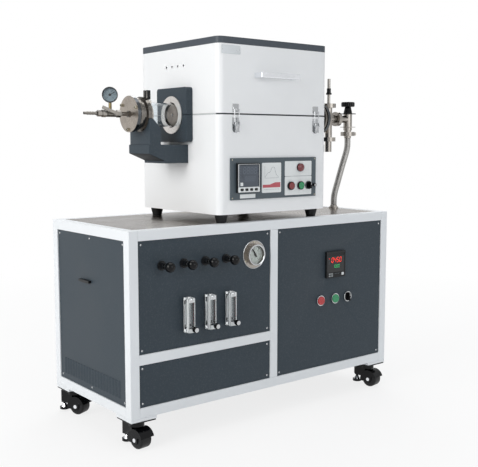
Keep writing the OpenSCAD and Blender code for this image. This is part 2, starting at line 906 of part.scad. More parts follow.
module control_panel() {
    color("gainsboro") difference() {
        translate([furnace_x + control_x, -control_t, furnace_z + control_z])
            cube([control_w, control_t, control_h]);
        translate([furnace_x + controller_at[0] - meter_cut / 2, -control_t - 1,
                furnace_z + controller_at[1] - meter_cut / 2])
            cube([meter_cut, control_t + 2, meter_cut]);
        for (at = [stop_at, start_at, key_at, lamp_at])
            on_control(at) translate([0, control_t + 1, 0])
                rod_front(control_t + 2, shank_d + 2 * seat);
        on_control(fuse_at) translate([0, control_t + 1, 0])
            rod_front(control_t + 2, 9 + 2 * seat);
    }
}

// ---- furnace ----

module furnace_outline(inset) {
    translate([furnace_mid, tube_y])
        round_rect(furnace_w - 2 * inset, furnace_d - 2 * inset, corner_r - inset);
}

// A cylinder along the tube axis, through the whole furnace and past it
module tube_axis_cut(d) {
    translate([furnace_x - port_t - 20, tube_y, seam_z])
        rod_x(furnace_w + 2 * port_t + 40, d);
}

module furnace_case() {
    top = seam_z - seam_gap / 2;
    edge = 4;
    color("whitesmoke") difference() {
        translate([0, 0, furnace_z]) linear_extrude(top - furnace_z) furnace_outline(0);
        translate([0, 0, furnace_z + sheet_t])
            linear_extrude(shelf_z - furnace_z - sheet_t) furnace_outline(sheet_t);
        translate([0, 0, shelf_z + sheet_t])
            linear_extrude(top - shelf_z) furnace_outline(sheet_t);
        tube_axis_cut(collar_d + 2 * collar_gap);
        // Window behind the control panel
        translate([furnace_x + control_x + edge, -1, furnace_z + control_z + edge])
            cube([control_w - 2 * edge, sheet_t + 2, control_h - 2 * edge]);
        // Thermocouple hole in the shelf
        translate([furnace_mid, tube_y, shelf_z - 1]) cylinder(d = sheath_d + 1, h = sheet_t + 2);
        // Cooling slots in the back
        for (x = [furnace_x + 60 : slot_pitch : furnace_end - 60])
            translate([x, furnace_d - sheet_t - 1, furnace_z + 40])
                cube([slot_w, sheet_t + 2, slot_h]);
    }
}

module furnace_feet() {
    color("black")
        for (x = [furnace_x + foot_inset, furnace_end - foot_inset],
            y = [foot_inset, furnace_d - foot_inset])
            translate([x, y, cart_h]) cylinder(d1 = foot_tip_d, d2 = foot_d, h = foot_h);
}

sheath_d = 6;
rod_r = chamber_d / 2 + 1;

// Fibre block with its chamber, end passages and collars, cut at one side of the seam
module fibre_half(top) {
    z0 = top ? seam_z + fibre_seam : shelf_z + sheet_t;
    z1 = top ? seam_z + fibre_h : seam_z - fibre_seam;
    left = furnace_x - port_t - collar_proud;
    chamber_x = furnace_x + wall_in + end_wall;
    chamber_l = furnace_w - 2 * (wall_in + end_wall);
    color("ivory") difference() {
        union() {
            translate([0, 0, z0]) linear_extrude(z1 - z0) furnace_outline(wall_in);
            translate([0, 0, z0]) intersection() {
                both_ends() translate([left, tube_y, seam_z - z0])
                    rod_x(furnace_x + wall_in - weld_gap - left, collar_d);
                translate([left, tube_y - collar_d, 0])
                    cube([2 * furnace_w, 2 * collar_d, z1 - z0]);
            }
        }
        tube_axis_cut(bore_d);
        translate([chamber_x, tube_y, seam_z]) rod_x(chamber_l, chamber_d);
        for (i = [0 : rod_count - 1])
            at_rod(i, top) translate([chamber_x, 0, 0]) rod_x(chamber_l, rod_d + 2 * groove_gap);
        if (!top)
            translate([furnace_mid, tube_y, z0 - 1]) cylinder(d = sheath_d + 2 * seat, h = fibre_h);
    }
    color("dimgray") for (i = [0 : rod_count - 1])
        at_rod(i, top) translate([chamber_x + seat, 0, 0]) rod_x(chamber_l - 2 * seat, rod_d);
}

// Heating rods stand evenly round the half chamber, none on the seam or over the thermocouple
module at_rod(i, top) {
    a = 180 * (i + 0.5) / rod_count;
    s = top ? 1 : -1;
    translate([0, tube_y - rod_r * cos(a), seam_z + s * rod_r * sin(a)]) children();
}

module lower_heating_module() {
    fibre_half(false);
}

module upper_heating_module() {
    fibre_half(true);
}

// Half of each port plate, on one side of the seam
module port_plates(top) {
    half = port_h / 2 - plate_seam;
    color("darkslategray") both_ends()
        intersection() {
            translate([furnace_x - port_t, tube_y, seam_z]) rotate([90, 0, 90])
                linear_extrude(port_t) difference() {
                    round_rect(port_w, port_h, port_r);
                    circle(d = collar_d + 2 * collar_gap, $fn = 96);
                }
            translate([furnace_x - port_t - 1, tube_y - port_w,
                    top ? seam_z + plate_seam : seam_z - plate_seam - half - 1])
                cube([port_t + 2, 2 * port_w, half + 1]);
        }
}

module lid_shell() {
    low = seam_z + seam_gap / 2;
    top = lid_z - cap_h;
    color("gainsboro") difference() {
        translate([0, 0, low]) linear_extrude(top - low) furnace_outline(0);
        translate([0, 0, low - 1])
            linear_extrude(seam_z + fibre_h - low + 1) furnace_outline(sheet_t);
        translate([0, 0, seam_z + fibre_h + sheet_t])
            linear_extrude(top - seam_z - fibre_h) furnace_outline(sheet_t);
        tube_axis_cut(collar_d + 2 * collar_gap);
        // Four vent holes in each side
        for (y = [-50, -16, 18, 52])
            translate([furnace_x - 1, tube_y + 12.5 + y, top - 58]) rod_x(furnace_w + 2, 8);
    }
}

module lid_cap() {
    color("dimgray") difference() {
        translate([0, 0, lid_z - cap_h]) linear_extrude(cap_h) furnace_outline(0);
        translate([0, 0, lid_z - cap_h - 1])
            linear_extrude(cap_h + 1 - sheet_t) furnace_outline(sheet_t);
    }
}

module lid_handle() {
    z = seam_z + handle_z - handle_h / 2;
    foot = 14;
    x0 = furnace_x + handle_x - handle_l / 2;
    color("white") difference() {
        translate([x0, -handle_out, z]) cube([handle_l, handle_out, handle_h]);
        translate([x0 + foot, -handle_out + handle_t, z - 1])
            cube([handle_l - 2 * foot, handle_out, handle_h + 2]);
    }
}

// ---- hinges and latches ----

hinge_xs = [furnace_x + hinge_inset - leaf_w / 2, furnace_end - hinge_inset - leaf_w / 2];
knuckle_l = (leaf_w - 2 * knuckle_gap) / 3;

module case_hardware() {
    for (x = hinge_xs) translate([x, 0, 0]) color("silver") {
        // Lower leaf with its two outer knuckles and the pin
        translate([0, furnace_d, seam_z - barrel_d / 2 - leaf_h])
            cube([leaf_w, leaf_t, leaf_h - 0.5]);
        for (k = [0, leaf_w - knuckle_l]) translate([k, 0, 0]) {
            translate([0, furnace_d, seam_z - barrel_d / 2 - 2])
                cube([knuckle_l, leaf_t, barrel_d / 2 + 1]);
            translate([0, hinge_y, seam_z]) rod_x(knuckle_l, barrel_d);
        }
        translate([0, hinge_y, seam_z]) rod_x(leaf_w, hinge_pin_d);
    }
    for (x = latch_xs) translate([x, 0, 0]) latch_base();
}

// Base plate of a latch with its ears and the lever's pin
module latch_base() {
    low = seam_z - 61;
    top = seam_z - 12;
    r = latch_w / 2;
    color("silver") {
        translate([0, 0, low + r]) rotate([90, 0, 0]) linear_extrude(1.5) difference() {
            union() {
                circle(r = r);
                translate([-r, 0]) square([latch_w, top - low - r]);
            }
            translate([0, -r / 2]) circle(d = 5);
        }
        for (s = [-1, 1])
            translate([s * (ear_x + ear_t / 2) - ear_t / 2, lever_pivot[0] - 3.5, lever_pivot[1] - 4])
                cube([ear_t, -lever_pivot[0] + 2.5, 8]);
        translate([-ear_x - ear_t, lever_pivot[0], lever_pivot[1]]) rod_x(2 * (ear_x + ear_t), 3);
    }
}

module lid_hardware() {
    for (x = hinge_xs) translate([x, 0, 0]) color("silver") difference() {
        union() {
            // Upper leaf with its middle knuckle
            translate([0, furnace_d, seam_z + barrel_d / 2 + 1]) cube([leaf_w, leaf_t, leaf_h]);
            translate([knuckle_l + knuckle_gap, furnace_d, seam_z + seam_gap / 2])
                cube([knuckle_l, leaf_t, barrel_d / 2 + 2]);
            translate([knuckle_l + knuckle_gap, hinge_y, seam_z]) rod_x(knuckle_l, barrel_d);
        }
        translate([-1, hinge_y, seam_z]) rod_x(leaf_w + 2, hinge_pin_d + 2 * run);
    }
    // Catches of the latches: plate with a nose that the bail lies before
    for (x = latch_xs) translate([x, 0, 0]) color("silver") {
        translate([-latch_w / 2, -1.5, seam_z + 6]) cube([latch_w, 1.5, 26]);
        translate([-nose_w / 2, -nose_out, nose_z - 3]) cube([nose_w, nose_out - 1, 5]);
    }
}

module at_latch(i) {
    translate([latch_xs[i], 0, 0]) children();
}

module latch_lever(i) {
    low = seam_z - 58;
    half = lever_w / 2;
    color("silver") at_latch(i) difference() {
        union() {
            translate([-half, lever_pivot[0], lever_pivot[1]]) rod_x(lever_w, 6);
            translate([-half, bail_pivot[0], bail_pivot[1]]) rod_x(lever_w, 6);
            translate([-half, bail_pivot[0] - 0.6, low])
                cube([lever_w, 2, bail_pivot[1] - low - 2]);
            // Web between the two knuckles
            translate([-half, lever_pivot[0], lever_pivot[1]])
                rotate([atan2(bail_pivot[1] - lever_pivot[1], bail_pivot[0] - lever_pivot[0]), 0, 0])
                    translate([0, 2, -1.8]) cube([lever_w, norm(bail_pivot - lever_pivot) - 4, 3.6]);
        }
        translate([-half - 1, lever_pivot[0], lever_pivot[1]]) rod_x(lever_w + 2, 3 + 2 * run);
        translate([-half - 1, bail_pivot[0], bail_pivot[1]])
            rod_x(lever_w + 2, wire_d + 2 * run);
    }
}

// Wire bail: two legs, the bar before the catch's nose and two inward ends
module latch_bail(i) {
    top = [-nose_out - seat - wire_d / 2, nose_z];
    reach = norm(top - bail_pivot);
    lean = atan2(top[0] - bail_pivot[0], top[1] - bail_pivot[1]);
    color("silver") at_latch(i) translate([0, bail_pivot[0], bail_pivot[1]])
        rotate([-lean, 0, 0]) {
            for (s = [-1, 1]) {
                translate([s * bail_half, 0, 0]) cylinder(d = wire_d, h = reach);
                translate([s * bail_half, 0, 0]) sphere(d = wire_d);
                translate([s * bail_half, 0, reach]) sphere(d = wire_d);
                translate([s < 0 ? -bail_half : bail_half - 4, 0, 0]) rod_x(4, wire_d);
            }
            translate([-bail_half, 0, reach]) rod_x(2 * bail_half, wire_d);
        }
}

// ---- tube, flanges and brackets ----

module process_tube() {
    color("aliceblue") translate([furnace_mid - tube_len / 2, tube_y, seam_z]) difference() {
        rod_x(tube_len, tube_d, $fn = 96);
        translate([-1, 0, 0]) rod_x(tube_len + 2, tube_d - 2 * tube_wall);
    }
}

// Pieces of the left flange along the tube axis, starting at the end disc's outer face
module flange_set() {
    tube_hole = tube_d + 2 * tube_gap;
    translate([flange_x, tube_y, seam_z]) {
        color("silver") difference() {
            rod_x(disc_t - weld_gap, disc_d);
            bolts(bolt_d + 2 * seat, -1, disc_t + 2);
            translate([-1, 0, 0]) rod_x(disc_t + 2, line_bore);
        }
        color("black") translate([disc_t, 0, 0]) difference() {
            rod_x(seal_t - weld_gap, 2 * (bolt_r - bolt_d));
            translate([-1, 0, 0]) rod_x(seal_t + 2, tube_d);
        }
        color("silver") difference() {
            union() {
                translate([ring_start, 0, 0]) rod_x(clamp_l, clamp_d);
                translate([ring_start, 0, 0]) rod_x(flange_len, body_d);
                translate([seat_start, 0, 0]) rod_x(seat_l, seat_d);
            }
            translate([ring_start - 1, 0, 0]) rod_x(flange_len + 2, tube_hole);
            bolts(bolt_d + 2 * seat, ring_start - 1, clamp_l - 0.5);
        }
        color("dimgray") {
            bolts(bolt_d, -1, ring_start + clamp_l - 1);
            bolts(bolt_d + 4, -bolt_d - weld_gap, bolt_d);
        }
        // Strap round the tube with its two thumb screws
        color("silver") translate([ring_end + seat, 0, 0]) difference() {
            union() {
                rod_x(strap_w, tube_hole + 2 * strap_t);
                translate([0, thumb_y[0] - 9, 0]) cube([strap_w, thumb_y[1] - thumb_y[0] + 18, lug_z]);
            }
            translate([-1, 0, 0]) rod_x(strap_w + 2, tube_hole);
        }
        color("black") for (y = thumb_y)
            translate([ring_end + seat + strap_w / 2, y, lug_z - 0.2]) {
                cylinder(d = thumb_stem, h = thumb_low + 1);
                translate([0, 0, thumb_low]) cylinder(d = thumb_d, h = thumb_h);
            }
    }
}

line_bore = 6;
thumb_y = [-21, -5];
lug_z = tube_d / 2 + strap_t + 2;
thumb_d = 15;
thumb_h = 30;
thumb_low = 3;
thumb_stem = 6;

module bolts(d, x, length) {
    for (i = [0 : bolt_count - 1])
        rotate([36 + i * 360 / bolt_count, 0, 0]) translate([x, bolt_r, 0]) rod_x(length, d);
}

module tube_flanges() {
    both_ends() flange_set();
}

// Bracket arm on the case with the saddle that carries the seat ring
module flange_bracket() {
    x0 = flange_x + seat_start;
    tip = x0 - 5;
    arm_top = seam_z - arm_drop;
    saddle_top = seam_z - saddle_drop;
    step = x0 + seat_l;
    color("darkslategray") difference() {
        translate([0, tube_y + bracket_w / 2, 0]) rotate([90, 0, 0]) linear_extrude(bracket_w)
            polygon([
                [furnace_x, arm_top - arm_h], [furnace_x, arm_top],
                [x0 + saddle_l, arm_top], [x0 + saddle_l, saddle_top - 31],
                [step, saddle_top], [x0, saddle_top], [x0, arm_top], [tip, arm_top],
                [tip, arm_top - arm_tip_h], [tip + 60, arm_top - arm_h + 8],
                [tip + 60, arm_top - arm_h]
            ]);
        translate([x0 - 1, tube_y, seam_z]) rod_x(saddle_l + 2, seat_d + 2 * saddle_gap);
    }
}

saddle_gap = 0.2;

module flange_brackets() {
    both_ends() flange_bracket();
}

// ---- gas inlet ----

module inlet_fitting() {
    body_x = flange_x - nipple_l - inlet_body_l;
    translate([0, tube_y, seam_z]) {
        // Nipple on the end disc
        color("silver") difference() {
            union() {
                translate([flange_x - nipple_l + weld_gap, 0, 0])
                    rod_x(nipple_l - 2 * weld_gap, line_d);
                translate([flange_x - 4, 0, 0]) rod_x(4 - weld_gap, line_d + 8);
            }
            translate([flange_x - nipple_l - 1, 0, 0]) rod_x(nipple_l + 2, line_bore);
        }
        // Valve body with its hexagon ends and the lever's boss
        color("silver") difference() {
            union() {
                translate([body_x, 0, 0]) rod_x(inlet_body_l, inlet_body_d - 4);
                translate([body_x, 0, 0]) rotate([0, 90, 0]) cylinder(d = 24, h = 14, $fn = 6);
                translate([flange_x - nipple_l - 14, 0, 0]) rotate([0, 90, 0])
                    cylinder(d = 24, h = 14, $fn = 6);
                translate([body_x + 18, 0, 0]) rod_x(inlet_body_l - 36, inlet_body_d);
                translate([flange_x - inlet_pivot_at, 0, 0]) rod_front(lever_boss, 12);
                translate([flange_x - inlet_gauge_at, 0, 0]) cylinder(d = 14, h = inlet_body_d / 2);
            }
            translate([body_x - 1, 0, 0]) rod_x(inlet_body_l + 2, line_bore);
            translate([flange_x - inlet_pivot_at, -lever_boss + 6, 0])
                rod_front(8, lever_stem + 2 * run);
        }
        // Union nut and hose barb
        color("dimgray") difference() {
            union() {
                translate([body_x - 16, 0, 0]) rotate([0, 90, 0])
                    cylinder(d = 20, h = 16 - weld_gap, $fn = 6);
                translate([body_x - barb_l - 12, 0, 0]) rod_x(barb_l, 9);
                for (i = [0:3])
                    translate([body_x - barb_l - 4 + i * 9, 0, 0]) rotate([0, 90, 0])
                        cylinder(d1 = 9, d2 = 11.5, h = 7);
            }
            translate([body_x - barb_l - 13, 0, 0]) rod_x(barb_l + 14, line_bore);
        }
    }
}

lever_boss = 23;
lever_stem = 6;

module inlet_valve_handle() {
    translate([flange_x - inlet_pivot_at, tube_y - lever_boss, seam_z]) {
        color("silver") translate([0, 5, 0]) rod_front(5 + seat + 3, lever_stem);
        color("dimgray") translate([0, -seat, 0]) rotate([0, lever_rest, 0]) {
            rod_front(4, 14);
            translate([-lever_l, -4, -5]) cube([lever_l, 4, 10]);
        }
    }
}

// ---- vacuum line ----

// Flange rim at the end of a pipe, facing +Z at z = 0
module kf_rim() {
    translate([0, 0, -kf_t]) cylinder(d = kf_d, h = kf_t);
}

// Clamp round two rims, middle of the joint at the origin, axis Z
module kf_clamp() {
    r_in = kf_d / 2 + seat;
    lip = pipe_d / 2 + 2;
    color("silver") {
        difference() {
            cylinder(d = kf_clamp_d, h = kf_clamp_l, center = true);
            cylinder(r = lip, h = kf_clamp_l + 2, center = true);
            cylinder(r = r_in, h = 2 * kf_t + 2 * seat, center = true);
        }
        // Wing screw
        translate([kf_clamp_d / 2 - 2, 0, 0]) rod_x(10, 5);
        translate([kf_clamp_d / 2 + 4, -1.5, -7]) cube([5, 3, 14]);
    }
}

module vacuum_manifold() {
    start = 2 * furnace_mid - flange_x;
    translate([0, tube_y, seam_z]) {
        // Four way cross
        color("silver") difference() {
            union() {
                translate([start, 0, 0]) rod_x(arm_joint - start, pipe_d);
                translate([riser_at, 0, low_joint - seam_z])
                    cylinder(d = pipe_d, h = top_joint - low_joint);
                translate([start, 0, 0]) rod_x(5, kf_d);
                translate([arm_joint, 0, 0]) rotate([0, 90, 0]) kf_rim();
                translate([riser_at, 0, top_joint - seam_z]) kf_rim();
                translate([riser_at, 0, low_joint - seam_z]) mirror([0, 0, 1]) kf_rim();
            }
            translate([start - 1, 0, 0]) rod_x(arm_joint - start + 2, pipe_d - 4);
            translate([riser_at, 0, low_joint - seam_z - 1])
                cylinder(d = pipe_d - 4, h = top_joint - low_joint + 2);
        }
        translate([arm_joint, 0, 0]) rotate([0, 90, 0]) rotate([0, 0, 90]) kf_clamp();
        translate([riser_at, 0, top_joint - seam_z]) kf_clamp();
        translate([riser_at, 0, low_joint - seam_z]) kf_clamp();
        // Vent valve on the riser
        translate([riser_at, 0, top_joint - seam_z]) {
            color("silver") translate([0, 0, weld_gap]) mirror([0, 0, 1]) kf_rim();
            color("silver") translate([0, 0, weld_gap]) cylinder(d = 12, h = 104 - weld_gap);
            color("black") translate([0, 0, 43]) cylinder(d = 22, h = 7);
            color("black") translate([0, 0, 50]) cylinder(d = 16, h = 17);
        }
        // Vacuum sensor on the lower leg
        translate([riser_at, 0, low_joint - seam_z]) {
            color("silver") translate([0, 0, -weld_gap]) kf_rim();
            color("black") translate([0, 0, -49]) cylinder(d = 26, h = 46);
        }
    }
    // Bulkhead fitting of the hose on the cart top
    color("silver") translate([hose_foot[0], hose_foot[1], 0]) {
        translate([0, 0, cart_h]) cylinder(d = 38, h = foot_flange_t);
        translate([0, 0, cart_h + 1]) cylinder(d = hose_d + 3, h = hose_low - cart_h - 1);
        translate([0, 0, bulkhead_low]) cylinder(d = 20, h = cart_h - bulkhead_low + 1);
    }
}

bulkhead_l = 40;
bulkhead_low = cart_h - bulkhead_l;

module angle_valve() {
    translate([valve_at, tube_y, 0]) {
        color("silver") difference() {
            union() {
                // Body with its side port and lower port
                translate([0, 0, seam_z - 44]) cylinder(d = 34, h = 64);
                translate([arm_joint - valve_at, 0, seam_z]) rod_x(valve_at - arm_joint, pipe_d);
                translate([arm_joint - valve_at, 0, seam_z]) rotate([0, -90, 0]) kf_rim();
                translate([0, 0, hose_joint]) cylinder(d = pipe_d, h = seam_z - hose_joint);
                translate([0, 0, hose_joint]) mirror([0, 0, 1]) kf_rim();
                translate([0, 0, seam_z - 32]) cylinder(d = 62, h = 2);
            }
            translate([0, 0, hose_joint - 1]) cylinder(d = pipe_d - 4, h = seam_z - hose_joint + 8);
            translate([arm_joint - valve_at - 1, 0, seam_z])
                rod_x(valve_at - arm_joint, pipe_d - 4);
        }
        // Bonnet with its thin plate
        color("black") difference() {
            union() {
                translate([0, 0, seam_z + 20]) cylinder(d = 64, h = 3);
                translate([0, 0, seam_z + 23]) cylinder(d1 = 36, d2 = 24, h = 26);
            }
            translate([0, 0, seam_z + 30]) cylinder(d = stem_d + 2 * run, h = 40);
        }
        translate([0, 0, hose_joint]) rotate([0, 0, -clamp_turn]) kf_clamp();
        // Hose end with its rim and cuff
        color("silver") translate([0, 0, hose_joint]) {
            kf_rim();
            translate([0, 0, hose_top - hose_joint]) cylinder(d = hose_d + 3, h = hose_joint - hose_top - 1);
        }
    }
}

module valve_handwheel() {
    color("black") translate([valve_at, tube_y, seam_z + 49 + seat]) {
        cylinder(d = handwheel_d, h = 19);
        translate([0, 0, -18]) cylinder(d = stem_d, h = 20);
    }
}

// Point on the smooth curve through the route, u running from 0 to the last index
function route_point(u) =
    let (
        last = len(hose_route) - 1,
        i = min(floor(u), last - 1),
        t = u - i,
        a = hose_route[max(i - 1, 0)],
        b = hose_route[i],
        c = hose_route[i + 1],
        d = hose_route[min(i + 2, last)]
    )
    0.5 * (2 * b + (c - a) * t + (2 * a - 5 * b + 4 * c - d) * t * t
        + (3 * b - a - 3 * c + d) * t * t * t);

// Direction of the route, square to the fittings at both ends
function route_way(k, n) =
    k == 0 || k == n ? [0, 0, -1]
        : let (s = (len(hose_route) - 1) / n, v = route_point((k + 0.4) * s) - route_point((k - 0.4) * s))
            v / norm(v);

module bellows_hose() {
    sides = 12;
    rings = 15;
    r = hose_d / 2;
    s = (len(hose_route) - 1) / rings;
    points = [
        for (k = [0 : rings])
            let (
                way = route_way(k, rings),
                side = cross(way, [0, 1, 0]) / norm(cross(way, [0, 1, 0])),
                up = cross(side, way)
            )
            for (j = [0 : sides - 1])
                route_point(k * s) + r * (cos(j * 360 / sides) * side + sin(j * 360 / sides) * up)
    ];
    walls = [
        for (k = [0 : rings - 1], j = [0 : sides - 1])
            let (n = (j + 1) % sides)
            [k * sides + j, k * sides + n, (k + 1) * sides + n, (k + 1) * sides + j]
    ];
    low_cap = [for (j = [sides - 1 : -1 : 0]) j];
    high_cap = [for (j = [0 : sides - 1]) rings * sides + j];
    color("lightgray") polyhedron(points, concat([low_cap], walls, [high_cap]));
}

// ---- inner machines ----

pump_size = [190, 150, 180];
pump_port = 30;
pump_foot_d = 24;
pump_foot_h = 12;
pump_foot_inset = 25;
motor_d = 130;
motor_l = 150;
motor_z = 80;
suction_d = 19;
suction_rise = 74;

// Pump under the bulkhead fitting, its port in line with the suction line
module vacuum_pump() {
    x0 = hose_foot[0] - pump_port - 167;
    y0 = hose_foot[1] - pump_size[1] / 2;
    z0 = rail + panel_t;
    base = z0 + pump_foot_h;
    elbow = base + pump_size[2] + suction_rise;
    color("steelblue") {
        for (x = [x0 + pump_foot_inset, x0 + pump_size[0] - pump_foot_inset],
            y = [y0 + pump_foot_inset, y0 + pump_size[1] - pump_foot_inset])
            translate([x, y, z0]) cylinder(d = pump_foot_d, h = pump_foot_h + 2);
        translate([x0, y0, base]) cube(pump_size);
        translate([x0 - motor_l, y0 + pump_size[1] / 2, base + motor_z]) rod_x(motor_l + 2, motor_d);
    }
    // Suction line from the bulkhead fitting down to the pump
    color("silver") translate([hose_foot[0], hose_foot[1], 0]) {
        translate([0, 0, elbow]) cylinder(d = suction_d, h = bulkhead_low - elbow);
        translate([-pump_port, 0, elbow]) rod_x(pump_port + suction_d / 2, suction_d);
        translate([-pump_port, 0, base + pump_size[2]])
            cylinder(d = suction_d, h = suction_rise + suction_d / 2);
    }
}

transformer = [150, 130, 110];
relay = [60, 45, 28];
terminals = [90, 40, 40];
unit_x = [40, 230, 320];
unit_y = [150, 160, 160];

module power_unit() {
    // Transformer, relay and terminal block on the case floor
    z0 = furnace_z + sheet_t;
    color("dimgray") {
        translate([furnace_x + unit_x[0], unit_y[0], z0]) cube(transformer);
        translate([furnace_x + unit_x[1], unit_y[1], z0]) cube(relay);
        translate([furnace_x + unit_x[2], unit_y[2], z0]) cube(terminals);
    }
    // Thermocouple head under the shelf and its sheath
    translate([furnace_mid, tube_y, 0]) {
        color("silver") translate([0, 0, shelf_z - 24]) cylinder(d = 34, h = 24);
        color("white") translate([0, 0, shelf_z - 2])
            cylinder(d = sheath_d, h = seam_z - tube_d / 2 - 4 - shelf_z);
    }
}

// ---- one line for each node ----

place() cart_frame();
place() caster_plates();
place() cart_top();
place() front_panels();
place() outer_panels();
place() flowmeter_bodies();
place() gas_valves();
place() gauges();
place() panel_instruments();
place() switch_bezels();
place() furnace_case();
place() furnace_feet();
place() lower_heating_module();
place() port_plates(false);  // lower_port_plates
place() control_panel();
place() process_tube();
place() tube_flanges();
place() flange_brackets();
place() inlet_fitting();
place() vacuum_manifold();
place() angle_valve();
place() bellows_hose();
place() vacuum_pump();
place() case_hardware();
place() power_unit();
place() lid_shell();
place() lid_cap();
place() upper_heating_module();
place() port_plates(true);  // upper_port_plates
place() lid_handle();
place() lid_hardware();
for (i = [0:1]) {
    place() latch_lever(i);
    place() latch_bail(i);
}
for (i = [0:3]) {
    place() gas_knob(i);
    place() at_caster(i) caster_fork();
    place() at_caster(i) caster_wheel();
}
for (i = [1:3])
    place() flow_knob(i);
place() color("red") on_cart(cart_stop_at) button(cart_switch_d);  // cart_stop_button
place() color("green") on_cart(cart_start_at) button(cart_switch_d);  // cart_start_button
place() color("red") on_control(stop_at) button(switch_d);  // furnace_stop_button
place() color("green") on_control(start_at) button(switch_d);  // furnace_start_button
place() color("black") on_cart(selector_at) turn_knob(cart_switch_d);  // cart_selector
place() color("black") on_control(key_at) turn_knob(switch_d);  // furnace_key_switch
place() valve_handwheel();
place() inlet_valve_handle();
place() gauge_needle();
place() side_latch();
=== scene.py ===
import json
from math import cos, hypot, pi, radians, sin

import bmesh
import bpy
from mathutils import Euler, Matrix, Vector

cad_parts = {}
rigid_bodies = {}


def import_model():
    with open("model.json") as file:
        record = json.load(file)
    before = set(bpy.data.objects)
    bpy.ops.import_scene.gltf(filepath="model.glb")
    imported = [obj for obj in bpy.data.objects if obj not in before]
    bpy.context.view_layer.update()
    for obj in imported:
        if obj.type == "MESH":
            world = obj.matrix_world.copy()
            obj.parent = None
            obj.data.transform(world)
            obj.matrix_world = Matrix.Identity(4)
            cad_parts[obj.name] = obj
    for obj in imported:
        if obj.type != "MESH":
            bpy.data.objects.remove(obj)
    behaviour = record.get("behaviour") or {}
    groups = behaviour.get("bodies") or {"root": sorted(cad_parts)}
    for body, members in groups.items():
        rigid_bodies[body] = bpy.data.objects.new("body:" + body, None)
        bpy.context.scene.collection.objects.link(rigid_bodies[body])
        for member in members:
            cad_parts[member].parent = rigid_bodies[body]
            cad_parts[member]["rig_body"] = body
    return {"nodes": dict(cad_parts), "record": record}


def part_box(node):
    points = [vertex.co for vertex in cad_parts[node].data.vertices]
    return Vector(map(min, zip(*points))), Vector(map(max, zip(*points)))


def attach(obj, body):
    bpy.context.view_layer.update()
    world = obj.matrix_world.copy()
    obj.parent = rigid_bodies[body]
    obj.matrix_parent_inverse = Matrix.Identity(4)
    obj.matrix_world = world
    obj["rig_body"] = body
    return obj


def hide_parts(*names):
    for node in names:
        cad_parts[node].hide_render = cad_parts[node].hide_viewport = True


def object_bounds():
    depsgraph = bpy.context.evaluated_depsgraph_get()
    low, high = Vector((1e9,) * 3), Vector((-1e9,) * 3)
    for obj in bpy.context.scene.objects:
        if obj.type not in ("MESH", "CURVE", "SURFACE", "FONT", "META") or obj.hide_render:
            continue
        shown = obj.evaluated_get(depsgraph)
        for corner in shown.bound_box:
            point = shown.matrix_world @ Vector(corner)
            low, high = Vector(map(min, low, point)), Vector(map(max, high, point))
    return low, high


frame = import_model()
cad_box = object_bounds()
NODES = frame["nodes"]

# Sizes below are in millimetres from the front left bottom corner of the cart's tube frame:
# X to the right, Y to the back, Z up. at() turns them into the shared frame in metres.
MM = 0.001
PAD_T = 10.0  # corner pads under the frame tube
frame_low, frame_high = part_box("cart_frame")
DATUM = Vector((frame_low.x, frame_low.y, frame_low.z + PAD_T * MM))


def at(x, y, z):
    return DATUM + Vector((x, y, z)) * MM


def local_box(node):
    """Lowest and highest corners of a CAD node, in cart millimetres"""
    lo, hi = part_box(node)
    return (lo - DATUM) / MM, (hi - DATUM) / MM


CASE_LO, CASE_HI = local_box("furnace_case")
LID_LO = local_box("lid_shell")[0]
TUBE_LO, TUBE_HI = local_box("process_tube")
FRAME_HI = (frame_high - DATUM) / MM
SEAM_Z = (CASE_HI.z + LID_LO.z) / 2
TUBE_Y = (TUBE_LO.y + TUBE_HI.y) / 2
TUBE_MID = (TUBE_LO.x + TUBE_HI.x) / 2
# Width of a frame tube, and depth of the panels' faces behind the frame's
RAIL, PANEL_Y = 32.0, 4.0

# ---- camera, fitted to the photo with the two 96 mm instruments ----

CAMERA_AT = (-1.827184, -2.309845, 0.9469)
CAMERA_TILT, CAMERA_HEADING, LENS = 83.595, -38.516, 61.395

scene = bpy.context.scene
scene.view_settings.view_transform = "Standard"
camera_data = bpy.data.cameras.new("view")
camera_data.sensor_width = 36.0
camera_data.lens = LENS
camera_data.clip_end = 60.0
camera = bpy.data.objects.new("view", camera_data)
camera.location = CAMERA_AT
camera.rotation_euler = Euler((radians(CAMERA_TILT), 0.0, radians(CAMERA_HEADING)), "XYZ")
scene.collection.objects.link(camera)
scene.camera = camera

# ---- materials ----


def join(nt, socket, value):
    """An input set to a constant or linked to another node's output"""
    if isinstance(value, bpy.types.NodeSocket):
        nt.links.new(value, socket)
    else:
        socket.default_value = value


def shader(nt, kind, **values):
    """New shader node with its inputs by name"""
    new = nt.nodes.new("ShaderNode" + kind)
    for key, value in values.items():
        join(nt, new.inputs[key.replace("_", " ")], value)
    return new


def math_node(nt, operation, *values):
    new = shader(nt, "Math")
    new.operation = operation
    for socket, value in zip(new.inputs, values):
        join(nt, socket, value)
    return new.outputs[0]


def rgb(code):
    """Linear colour from a written sRGB code"""
    parts = [int(code[i : i + 2], 16) / 255 for i in (0, 2, 4)]
    return [c / 12.92 if c <= 0.04045 else ((c + 0.055) / 1.055) ** 2.4 for c in parts]


def noise(nt, source, scale, detail):
    return shader(nt, "TexNoise", Vector=source, Scale=scale, Detail=detail,
                  Roughness=0.55).outputs["Fac"]


def spread(nt, source, low, high, from_low=0.3, from_high=0.7):
    """A value moved from one range to another"""
    return shader(nt, "MapRange", Value=source, From_Min=from_low, From_Max=from_high,
                  To_Min=low, To_Max=high).outputs["Result"]


def blend_colours(nt, factor, a, b):
    mix = shader(nt, "Mix", Factor=factor)
    mix.data_type = "RGBA"
    for socket, value in zip(mix.inputs[6:8], (a, b)):  # the two colour inputs
        join(nt, socket, (*value, 1.0) if isinstance(value, (list, tuple)) else value)
    return mix.outputs[2]


